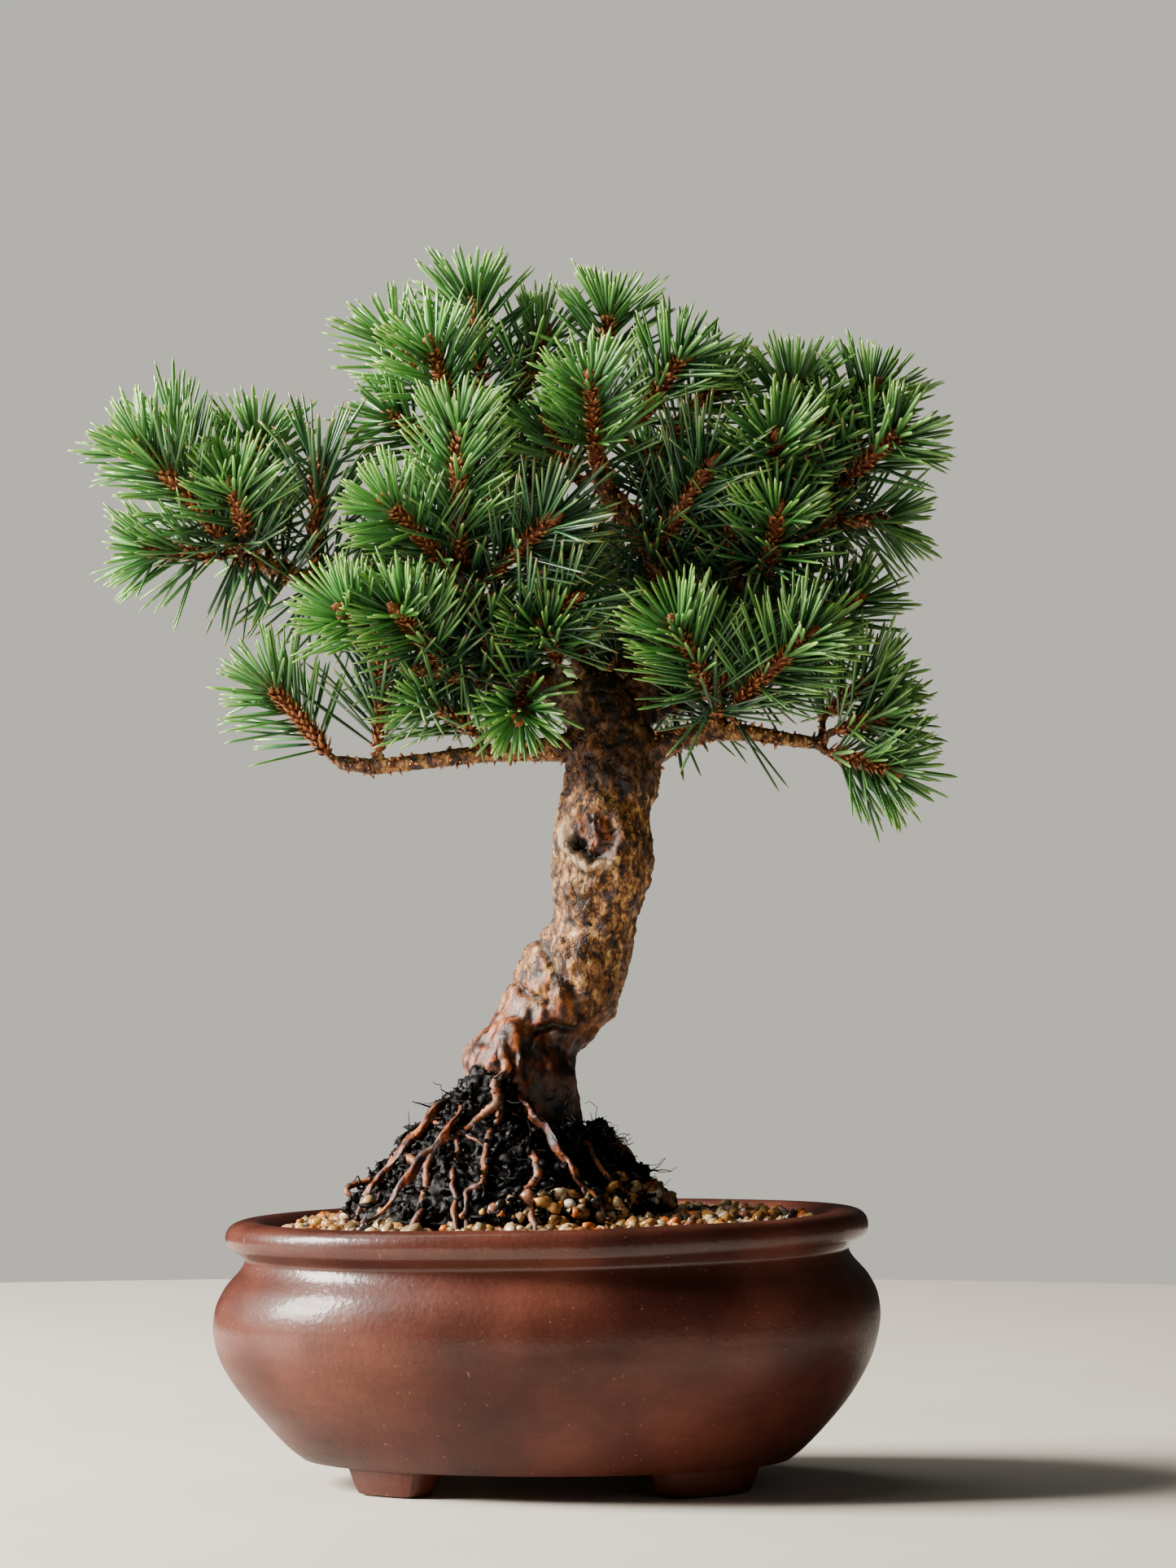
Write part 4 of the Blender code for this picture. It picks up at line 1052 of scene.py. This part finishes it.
@dataclass
class Wood:
    """Trunk, limbs and surface roots: flaking bark on the trunk, leaf scars on the limbs."""

    voxel: float = 0.78
    scar_centre: Vector = field(default_factory=lambda: Vector((22.3, -18.0, 193.6)))
    scar_size: tuple[float, float] = (8.8, 8.2)
    foot_x: float = 1.2
    knot: tuple[Vector, float] = (Vector((-3.5, -11.0, 134.5)), 7.5)
    lump: tuple[Vector, float] = (Vector((15.0, -5.0, 239.0)), 8.0)
    # Lines along which the lower trunk is carved in and painted darker, as painted shade.
    creases: Sequence[tuple[float, Sequence[tuple[float, float]]]] = (
        (1.5, ((5.0, 163.5), (11.2, 153.5), (17.0, 145.0), (18.6, 136.8))),
        (1.3, ((18.2, 135.6), (11.2, 137.2), (5.4, 136.0), (2.2, 131.2), (2.6, 122.0))),
        (0.8, ((-4.0, 152.0), (1.5, 147.0), (8.0, 144.0))),
    )
    pegs: int = 1500
    thin_limb: float = 9.5
    limbs_above: float = 205.0

    def blank(self) -> bpy.types.Mesh:
        """The CAD wood, remeshed finely and with its facets smoothed away."""
        source = mesh_of(merged_copy("tree"), "wood_blank", ())
        return baked(source, ("REMESH", {"mode": "VOXEL", "voxel_size": self.voxel * MM}),
                     ("SMOOTH", {"iterations": 5, "factor": 0.5}))

    def scar(self, p: Vector, facing: float) -> tuple[float, float, float, float]:
        """The healed pruning scar on the trunk's front.

        Args:
            p: the point, in millimetres.
            facing: how far the surface faces the front, from 0 to 1.

        Returns:
            How far the surface is moved out in millimetres, and how dark, how worn and how bare it is.
        """
        across = (p.x - self.scar_centre.x) / self.scar_size[0]
        up = (p.z - self.scar_centre.z) / self.scar_size[1]
        oval = math.hypot(across, up) + 0.16 * bumps(p, 3.2)
        if facing <= 0.0 or oval > 1.6:
            return 0.0, 0.0, 0.0, 0.0
        angle = math.atan2(up, across)
        rim = math.exp(-(((oval - 1.08) / 0.15) ** 2))
        hollow = smoothstep(oval, 1.02, 0.72)
        rays = math.sin(angle * 17.0 + 3.0 * bumps(p, 2.0)) * hollow
        crescent = math.exp(-(((oval - 0.74) / 0.2) ** 2)) * smoothstep(math.cos(angle - 4.15), 0.25, 0.8)
        ledge = rim * smoothstep(math.cos(angle - 4.0), -0.1, 0.6)
        move = rim * (0.35 + 0.75 * ledge) - 1.5 * hollow - 3.2 * crescent + 0.35 * rays
        dark = min(1.0, 1.2 * crescent + 0.35 * hollow * smoothstep(rays, 0.0, 0.6))
        return move * facing, dark * facing, 0.7 * ledge * facing, 0.9 * hollow * facing

    def crease_at(self, p: Vector) -> float:
        """How deep in a crease of the lower trunk a point lies, from 0 to 1."""
        deep = 0.0
        if not 118.0 < p.z < 168.0:
            return deep
        for width, marks in self.creases:
            for (x0, z0), (x1, z1) in zip(marks, marks[1:]):
                run_x, run_z = x1 - x0, z1 - z0
                share = ((p.x - x0) * run_x + (p.z - z0) * run_z) / (run_x * run_x + run_z * run_z)
                share = min(max(share, 0.0), 1.0)
                away = math.hypot(p.x - x0 - run_x * share, p.z - z0 - run_z * share)
                away += bumps(p, 3.0) * 0.9
                deep = max(deep, math.exp(-((away / width) ** 2)))
        return deep

    def root_move(self, p: Vector, normal: Vector, thick: float) -> Vector:
        """How a surface root is thinned, bent and laid closer on the peat, in millimetres."""
        share = smoothstep(p.z, 127.0, 120.0) * smoothstep(math.hypot(p.x - self.foot_x, p.y), 16.0, 21.0)
        if share <= 0.0:
            return Vector()
        slim = max(0.0, min(thick, 9.0) / 2.0 - 0.85) * 0.78
        inward = Vector((self.foot_x - 5.0 - p.x, -p.y, 0.0)).normalized()
        return (inward * 1.7 - normal * slim + noise.noise_vector(p / 8.0) * 2.4) * share

    def bark_at(self, p: Vector, normal: Vector, thick: float) -> tuple[Vector, tuple[float, ...]]:
        """How the wood's surface is shaped and dressed at one point.

        Args:
            p: the point, in millimetres.
            normal: the way the surface faces.
            thick: how thick the wood is under it, in millimetres.

        Returns:
            The move in millimetres, and the values of BARK_ATTRIBUTES in their order.
        """
        stout = smoothstep(thick, 6.0, 14.0)
        skin = smoothstep(p.z + 12.0 * bumps(p, 9.0) + 0.35 * (p.x - 4.0), 164.0, 130.0)
        lumps = bumps(p, 12.0) * 1.5 + bumps(p, 5.0) * (0.9 - 0.4 * skin)
        strands = noise.noise(Vector((p.x / 3.6, p.y / 3.6, p.z / 20.0))) * 1.3 * skin
        ridge = abs(noise.noise(Vector((p.x / 3.0, p.y / 3.0, p.z / 6.5)) + noise.noise_vector(p / 5.0) * 0.6))
        gate = smoothstep(bumps(p, 7.0), -0.12, 0.15)
        gap = smoothstep(ridge, 0.09, 0.0) * gate
        bark = (bumps(p, 2.2) * 0.55 - 0.8 * gap) * (1.0 - 0.6 * skin)
        fine = bumps(p, 1.5) * 0.4
        facing = smoothstep(-normal.y, 0.1, 0.5) if thick > 12.0 else 0.0
        cut, dark, worn, bare = self.scar(p, facing)
        # Creases are carved in and painted darker: painted shade.
        crease = self.crease_at(p) * smoothstep(-normal.y, -0.25, 0.25) * smoothstep(thick, 8.0, 12.0)
        swell = 2.6 * smoothstep((p - self.knot[0]).length, self.knot[1], 2.0)
        swell += 1.8 * smoothstep((p - self.lump[0]).length, self.lump[1], 2.0)
        out = (lumps + strands + bark) * stout + fine * (1.0 - 0.5 * skin) + cut + swell * stout - 1.9 * crease

        # Darker above the crotch: partly painted shade under the crown, partly aged, greyer bark.
        dusk = smoothstep(p.z + 10.0 * bumps(p, 9.0), 202.0, 216.0) * (0.35 + 0.5 * stout)
        # The lower trunk's right side is painted darker: painted shade on the side away from the key light.
        column_shade = smoothstep(p.z, 138.0, 130.0) * smoothstep(p.x + 5.0 * bumps(p, 6.0), -1.0, 5.0)
        grime = smoothstep(bumps(p, 10.0) + 0.5 * bumps(p, 4.0), 0.05, 0.4)
        # The first value adds painted shade in the creases to the bark's gaps; the second mixes painted shade
        # with random grime.
        values = (
            min(1.0, 0.85 * gap * stout * (1.0 - 0.6 * skin) + dark + 0.9 * crease),
            max(dusk, 0.9 * column_shade * smoothstep(p.z, 96.0, 110.0), 0.4 * grime),
            max(skin, bare),
            min(1.0, worn + 0.4 * smoothstep((p - self.lump[0]).length, self.lump[1], 3.0) * gate),
        )
        return normal * out + self.root_move(p, normal, thick), values

    def build(self) -> list[Spot]:
        """Carves the bark and adds the leaf scars.

        Returns:
            Places on the thin limbs, each with the way it faces.
        """
        mesh = self.blank()
        bm = bmesh.new()
        bm.from_mesh(mesh)
        bm.normal_update()
        bpy.data.meshes.remove(mesh)
        solid = BVHTree.FromBMesh(bm)
        moves, dressing, thin_places = [], [], []
        for vertex in bm.verts:
            p, normal = vertex.co / MM, vertex.normal
            hit = solid.ray_cast(vertex.co - normal * 0.05 * MM, -normal, 0.05)
            thick = hit[3] / MM if hit[0] is not None else 3.0
            move, values = self.bark_at(p, normal, thick)
            moves.append(move * MM)
            dressing.append(values)
            if thick < self.thin_limb and p.z > self.limbs_above:
                thin_places.append((vertex.co.copy(), normal.copy()))
        for vertex, move in zip(bm.verts, moves):
            vertex.co += move
        mesh = mesh_of(bm, "barked_wood", [PineBark().build()])
        for name, values in zip(BARK_ATTRIBUTES, zip(*dressing)):
            write_attribute(mesh, name, values)
        add_piece("barked_wood", mesh, ("tree",))
        self.leaf_scars(thin_places)
        return thin_places

    def leaf_scars(self, spots: Sequence[Spot]) -> None:
        """Small pegs that fallen needles left on the limbs."""
        rng = random.Random("pegs")
        peg = Shape.spike(((0.0, 1.15), (0.45, 0.9), (1.0, 0.55)), 0.1, 5, 0.8, 0)
        cluster = Cluster()
        for place, normal in rng.sample(list(spots), min(self.pegs, len(spots))):
            lean = (normal + jolt(rng, 0.35, 0.35, 0.1)).normalized()
            wide, tall = rng.uniform(0.35, 0.75) * MM, rng.uniform(0.8, 1.9) * MM
            turn = aim(lean, rng.uniform(0, math.tau))
            cluster.add(peg, Matrix.LocRotScale(place - normal * 0.2 * MM, turn, Vector((wide, wide, tall))),
                        rng.random())
        add_piece("leaf_scar_pegs", cluster.finish("leaf_scar_pegs", [BudScale().build()]))


# ---------------------------------------------------------------- needle shoots


class Age(Enum):
    """The kinds of shoot."""

    YOUNG = "shoot"
    OLD = "old_needles"
    SPRAY = "spray"


@dataclass(frozen=True)
class Habit:
    """How one kind of shoot grows. Lengths are in millimetres and angles in degrees."""

    pairs_per_mm: float
    crown_pairs: int
    length: tuple[float, float]
    angle: tuple[float, float]
    bend: tuple[float, float]
    scales_per_mm: float
    tone: tuple[float, float]
    stems: int = 1
    spread: float = 0.0


HABITS = {
    Age.YOUNG: Habit(2.8, 15, (20.0, 26.5), (66.0, 36.0), (-0.04, 0.18), 3.6, (0.6, 0.26)),
    Age.OLD: Habit(1.7, 8, (24.0, 32.0), (58.0, 30.0), (0.05, 0.3), 2.4, (0.4, 0.25)),
    Age.SPRAY: Habit(2.1, 13, (19.0, 26.0), (64.0, 36.0), (0.0, 0.18), 2.8, (0.45, 0.22), 4, 34.0),
}


@dataclass(frozen=True)
class Stem:
    """One shoot's axis."""

    base: Vector
    heading: Vector
    length: float
    arch: float

    def at(self, share: float) -> Vector:
        """The point at a share of the way along."""
        lift = UP - self.heading * self.heading.dot(UP)
        return self.base + (self.heading * share + lift * self.arch * (share * share - share)) * self.length

    def along(self, share: float) -> Vector:
        """The direction of growth there."""
        return (self.at(min(share + 0.02, 1.02)) - self.at(share - 0.02)).normalized()


@dataclass
class Foliage:
    """Every needle shoot, each in the place of its CAD envelope."""

    overshoot: float = 11.0
    inner_pairs: int = 1050
    bare_below: float = 228.0
    fork: tuple[float, float] = (20.0, 14.0)
    needle_r: float = 0.66
    thinned_front: float = 0.78
    thinned_back: float = 0.4
    bud_scales: int = 26
    wood: BVHTree = field(default_factory=lambda: surface_of("tree"))
    needles: list[Shape] = field(init=False)
    scales: list[Shape] = field(init=False)
    sheath: Shape = field(init=False)

    def __post_init__(self) -> None:
        """Makes the templates: needles of different bend, scales and a sheath."""
        taper = ((0.0, 0.72), (0.25, 1.0), (0.6, 1.0), (0.9, 0.86), (1.0, 0.26))
        self.needles = [Shape.spike(taper, bend / 100.0, 5, 0.8, 0) for bend in range(-4, 36, 4)]
        blade = ((0.0, 0.8), (0.45, 1.0), (1.0, 0.16))
        self.scales = [Shape.spike(blade, bend, 4, 0.4, 1) for bend in (-0.3, -0.05, 0.2)]
        self.sheath = Shape.spike(((0.0, 0.9), (0.6, 1.0), (1.0, 0.8)), 0.0, 5, 0.85, 1)

    def stem_of(self, node: str) -> Stem:
        """Reads a shoot's axis from its envelope: its base is the vertex nearest the wood."""
        bm = merged_copy(node)
        base = min(bm.verts, key=lambda vertex: self.wood.find_nearest(vertex.co)[3])
        heading = -base.normal.copy()
        length = max((vertex.co - base.co).dot(heading) for vertex in bm.verts) - self.overshoot * MM
        root = self.wood.find_nearest(base.co)[0]
        start = root.lerp(base.co, 0.3) - heading * 0.6 * MM
        bm.free()
        return Stem(start, heading, length, -0.12)

    def branches(self, stem: Stem, habit: Habit, rng: random.Random) -> list[Stem]:
        """A spray's several stems, or the one stem of a single shoot."""
        if habit.stems == 1:
            return [stem]
        result = []
        side = aim(stem.heading, rng.uniform(0, math.tau)) @ Vector((1, 0, 0))
        for i in range(habit.stems):
            swing = Quaternion(stem.heading, math.tau * i / habit.stems + rng.uniform(-0.3, 0.3)) @ side
            lean = math.radians(habit.spread * rng.uniform(0.75, 1.15) * (0.0 if i == 0 else 1.0))
            heading = (stem.heading * math.cos(lean) + swing * math.sin(lean)).normalized()
            result.append(Stem(stem.base, heading, stem.length * rng.uniform(0.8, 1.05), -0.1))
        return result

    def add_spike(self, tuft: Cluster, shape: Shape, root: Vector, heading: Vector, inner: Vector,
                  width: float, length: float, tone: float) -> None:
        """Adds one needle, scale or sheath.

        Args:
            tuft: the cluster that gets it.
            shape: its template.
            root: where it starts.
            heading: where it points.
            inner: the direction in which it bends and which its round side faces.
            width: its half width, in metres.
            length: its length, in metres.
            tone: its tone of the finish.
        """
        across = heading.cross(inner).normalized()
        facing = across.cross(heading).normalized()
        turn = Matrix((across, -facing, heading)).transposed()
        if turn.determinant() < 0.0:
            turn = Matrix((-across, -facing, heading)).transposed()
        size = Matrix.Diagonal((width, width, length))
        tuft.add(shape, Matrix.Translation(root) @ (turn @ size).to_4x4(), tone)

    def grow_needles(self, tuft: Cluster, stem: Stem, habit: Habit, rng: random.Random, shade: float) -> None:
        """Grows pairs of needles in a spiral round one stem, denser about its bud."""
        on_stem = int(habit.pairs_per_mm * stem.length / MM)
        total = on_stem + habit.crown_pairs
        vigour = min(1.0, max(0.66, (stem.length / MM + self.overshoot) / 27.0)) if habit.stems == 1 else 0.95
        spin = rng.uniform(0, math.tau)
        for i in range(total):
            in_crown = i >= on_stem
            if in_crown:
                share = 0.9 + 0.1 * (i - on_stem + 0.5) / habit.crown_pairs
            else:
                share = 0.04 + 0.9 * ((i + rng.random()) / on_stem) ** 0.85
            axis = stem.along(share)
            roll = aim(axis, spin + i * GOLDEN_ANGLE + rng.gauss(0, 0.18))
            out = roll @ Vector((1, 0, 0))
            steep = habit.angle[0] + (habit.angle[1] - habit.angle[0]) * share
            if in_crown:
                steep = 40.0 * (1.0 - (i - on_stem) / habit.crown_pairs) + 20.0
            angle = math.radians(max(6.0, steep + rng.gauss(0, 9.0)))
            heading = (axis * math.cos(angle) + out * math.sin(angle) + UP * 0.07).normalized()
            thinned = self.thinned_front if out.y < 0.0 else self.thinned_back
            if share < 0.92 and abs(out.y) > 0.5 and rng.random() < thinned:
                continue
            length = rng.uniform(*habit.length) * (0.66 if in_crown else 1.0 - 0.18 * share) * vigour * MM
            root = stem.at(share) + out * 1.3 * MM
            # Tone: random, lighter towards the tip, and lowered by painted shade for shoots further back.
            tone = min(1.0, max(0.0, rng.gauss(*habit.tone) + 0.25 * (share - 0.6) - shade))
            self.add_spike(tuft, self.sheath, root - heading * 0.3 * MM, heading, axis, 0.78 * MM, 1.9 * MM,
                           rng.random())
            fork = (roll @ Vector((0, 1, 0))) * math.sin(rng.uniform(0.06, 0.2))
            twist = rng.uniform(-0.5, 0.5)
            for side in (-1.0, 1.0):
                drift = out * fork.dot(axis) * 0.2
                way = (heading + fork * side + drift + UP * twist * 0.03 * side).normalized()
                bend = rng.uniform(*habit.bend)
                shape = self.needles[min(len(self.needles) - 1, max(0, round((bend * 100 + 4) / 4)))]
                tip_size = length * rng.uniform(0.93, 1.04)
                inward = (axis + fork * side * 2.0).normalized()
                self.add_spike(tuft, shape, root + way * 0.8 * MM, way, -inward,
                               self.needle_r * rng.uniform(0.9, 1.1) * MM, tip_size,
                               min(1.0, max(0.0, tone + rng.gauss(0, 0.08))))

    def grow_scales(self, tuft: Cluster, stem: Stem, habit: Habit, rng: random.Random) -> None:
        """Clothes one stem in scales and tops it with a bud."""
        core = [stem.at(i / 6) for i in range(7)]
        tuft.add_tube(core, [r * MM for r in (1.5, 1.6, 1.7, 1.75, 1.75, 1.6, 1.0)], 7, 1, 0.3)
        spin = rng.uniform(0, math.tau)
        for i in range(int(habit.scales_per_mm * stem.length / MM)):
            share = i / (habit.scales_per_mm * stem.length / MM)
            axis = stem.along(share)
            out = aim(axis, spin + i * GOLDEN_ANGLE) @ Vector((1, 0, 0))
            angle = math.radians(rng.uniform(24, 56))
            heading = axis * math.cos(angle) + out * math.sin(angle)
            self.add_spike(tuft, rng.choice(self.scales), stem.at(share) + out * 1.2 * MM, heading, axis,
                           rng.uniform(0.65, 1.1) * MM, rng.uniform(2.2, 3.7) * MM, rng.random())
        for bud in range(1 if habit.scales_per_mm < 2.0 else rng.choice((1, 2, 3))):
            self.add_bud(tuft, stem, bud, spin, rng)

    def add_bud(self, tuft: Cluster, stem: Stem, bud: int, spin: float, rng: random.Random) -> None:
        """Adds the end bud of a stem, or one of the smaller buds that lean out beside it.

        Args:
            tuft: the cluster that gets it.
            stem: the stem that it tops.
            bud: 0 for the end bud, and 1 or 2 for those beside it.
            spin: where round the stem the side buds start.
            rng: the shoot's random draws.
        """
        axis = stem.along(1.0)
        off = aim(axis, bud * 2.2 + spin) @ Vector((1, 0, 0))
        size, lean_out, shift = (0.66, 0.55, 1.3) if bud else (1.0, 0.0, 0.0)
        heading = (axis + off * lean_out).normalized()
        foot = stem.at(1.0) + off * shift * MM
        core = [foot + heading * size * rise * MM for rise in (-0.8, 0.8, 2.5, 4.2, 5.2)]
        tuft.add_tube(core, [size * r * MM for r in (1.2, 1.9, 1.9, 1.2, 0.3)], 7, 1, 0.55)
        for i in range(self.bud_scales):
            rise = i / self.bud_scales
            out = aim(heading, i * GOLDEN_ANGLE) @ Vector((1, 0, 0))
            angle = math.radians(34 - 28 * rise + rng.uniform(-5, 8))
            lean = heading * math.cos(angle) + out * math.sin(angle)
            reach = (1.7 - 1.35 * rise**1.6) * size * MM
            root = foot + heading * (4.2 * rise - 0.4) * size * MM + out * reach
            self.add_spike(tuft, self.scales[1 + i % 2], root, lean, heading, 0.62 * size * MM,
                           rng.uniform(1.3, 1.9) * size * MM, 0.45 + 0.5 * rng.random())

    def fill_inside(self, spots: Sequence[Spot], materials: Sequence[bpy.types.Material]) -> None:
        """Older needle pairs along the thin limbs inside the crown, which the light hardly reaches; their low
        tone is partly painted shade.

        Args:
            spots: places on the limbs, each with the way it faces.
            materials: the old needles' skin and the scales' finish.
        """
        rng = random.Random("inside")
        inside = Cluster()
        places = [spot for spot in spots if spot[0].z > self.bare_below * MM
                  and abs(spot[0].x - self.fork[0] * MM) > self.fork[1] * MM]
        for place, normal in rng.sample(places, min(self.inner_pairs, len(places))):
            lean = (normal + UP * 0.35 + jolt(rng, 0.4, 0.4, 0.0)).normalized()
            fork = lean.orthogonal().normalized() * rng.uniform(0.08, 0.2)
            # A low tone: painted shade inside the crown, as well as older needles.
            length, tone = rng.uniform(17.0, 25.0) * MM, max(0.0, rng.gauss(0.28, 0.2))
            inner = UP + normal * 0.2
            self.add_spike(inside, self.sheath, place, lean, inner, 0.75 * MM, 1.9 * MM, rng.random())
            for side in (-1.0, 1.0):
                way = (lean + fork * side).normalized()
                self.add_spike(inside, rng.choice(self.needles), place + way * 0.8 * MM, way, inner,
                               self.needle_r * MM, length * rng.uniform(0.93, 1.05), tone)
        add_piece("inner_needles", inside.finish("inner_needles", materials))

    def build(self, nodes: Sequence[str], spots: Sequence[Spot]) -> None:
        """Builds every shoot as a piece of its own, and the needles between them."""
        young = [YOUNG_NEEDLES.build(), BudScale().build()]
        old = [OLD_NEEDLES.build(), young[1]]
        self.fill_inside(spots, old)
        low, high = CAD_BOX
        for node in nodes:
            age = next(kind for kind in Age if node.startswith(kind.value))
            habit, rng = HABITS[age], random.Random(node)
            stem = self.stem_of(node)
            # Shoots further back get painted shade in their tone.
            depth = smoothstep((stem.base + stem.heading * stem.length).y, low.y * 0.4, high.y * 0.5)
            tuft = Cluster()
            for branch in self.branches(stem, habit, rng):
                self.grow_scales(tuft, branch, habit, rng)
                self.grow_needles(tuft, branch, habit, rng, 0.12 * depth)
            mesh = tuft.finish(node + "_tuft", old if age is Age.OLD else young)
            add_piece(node + "_tuft", mesh, (node,))


# ---------------------------------------------------------------- studio


@dataclass
class Studio:
    """A pale round table, a plain backdrop colour, a window-like key light and a weak fill."""

    table_r: float = 0.95
    table: str = "#CFC8BC"
    table_pale: str = "#D5CFC4"
    backdrop: str = "#CDCBC0"
    lens: float = 138.2
    eye: Vector = field(default_factory=lambda: Vector((0.0205, -1.8, 0.209)))

    def build(self) -> None:
        """Sets up the table, the lights and the camera."""
        bm = bmesh.new()
        bmesh.ops.create_cone(bm, cap_ends=True, segments=128, radius1=self.table_r, radius2=self.table_r,
                              depth=0.03)
        bmesh.ops.translate(bm, vec=(0.0, -0.2, -0.015), verts=bm.verts)
        material, node, shader = start_material("table_matt_paint")
        place = node("TexCoord", out="Object")
        mottle = node("TexNoise", {"Vector": place, "Scale": per_mm(120.0), "Detail": 2.0})
        tone = node("ValToRGB", {0: mottle}, ((0.3, self.table), (0.7, self.table_pale)))
        connect(shader, {"Base Color": tone, "Roughness": 0.55})
        table = bpy.data.objects.new("table_top", mesh_of(bm, "table_top", [material], 40.0))
        bpy.context.scene.collection.objects.link(table)

        world = bpy.data.worlds.new("studio")
        world.use_nodes = True
        bpy.context.scene.world = world
        ray = add_node(world.node_tree, "LightPath", out="Is Camera Ray")
        seen = add_node(world.node_tree, "MapRange", {0: ray, 3: 0.05, 4: 1.0})
        connect(world.node_tree.nodes["Background"], {"Color": linear(self.backdrop), "Strength": seen})

        self.light("window_key", Vector((-1.34, -0.14, 0.8)), 0.6, 0.8, 138.0, "#FFF8F0")
        self.light("soft_fill", Vector((0.9, -1.5, 0.7)), 1.2, 1.2, 1.2, "#F2F4FF", False)
        self.light("top_soft", Vector((-0.5, 0.2, 1.6)), 0.9, 0.9, 7.0, "#FFFDF8")

        camera = bpy.data.cameras.new("camera")
        camera.lens = self.lens
        camera.sensor_width = 36.0
        camera.clip_end = 20.0
        eye = bpy.data.objects.new("camera", camera)
        eye.location = self.eye
        eye.rotation_euler = (math.radians(90.0), 0.0, 0.0)
        bpy.context.scene.collection.objects.link(eye)
        bpy.context.scene.camera = eye

    def light(self, name: str, place: Vector, width: float, height: float, watts: float, colour: str,
              mirrored: bool = True) -> None:
        """Adds an area light aimed at the plant's middle; one that isn't mirrored makes no highlights."""
        data = bpy.data.lights.new(name, "AREA")
        data.shape, data.size, data.size_y = "RECTANGLE", width, height
        data.energy = watts
        data.color = linear(colour)[:3]
        lamp = bpy.data.objects.new(name, data)
        lamp.location = place
        lamp.visible_glossy = mirrored
        target = Vector((0.0, 0.0, 0.18))
        lamp.rotation_euler = (target - place).to_track_quat("-Z", "Y").to_euler()
        bpy.context.scene.collection.objects.link(lamp)


def dress_cad_nodes() -> None:
    """Gives the CAD solids that stay in view their finishes."""
    soil, plastic = SOIL.build(), MouldedMesh().build()
    dressed = {"potting_soil": soil, "drainage_mesh_left": plastic, "drainage_mesh_right": plastic}
    for name, material in dressed.items():
        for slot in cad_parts[name].material_slots:
            slot.material = material


def main() -> None:
    """Builds the studio, the potted tree and its needles."""
    logging.basicConfig(level=logging.INFO, format="%(name)s %(message)s")
    noise.seed_set(NOISE_SEED)
    Studio().build()
    Pot().build()
    ground = Ground()
    Grit(ground).build()
    Peat(ground).build()
    spots = Wood().build()
    shoots = sorted(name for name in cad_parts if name.startswith(tuple(kind.value for kind in Age)))
    Foliage().build(shoots, spots)
    dress_cad_nodes()


if __name__ == "__main__":
    main()
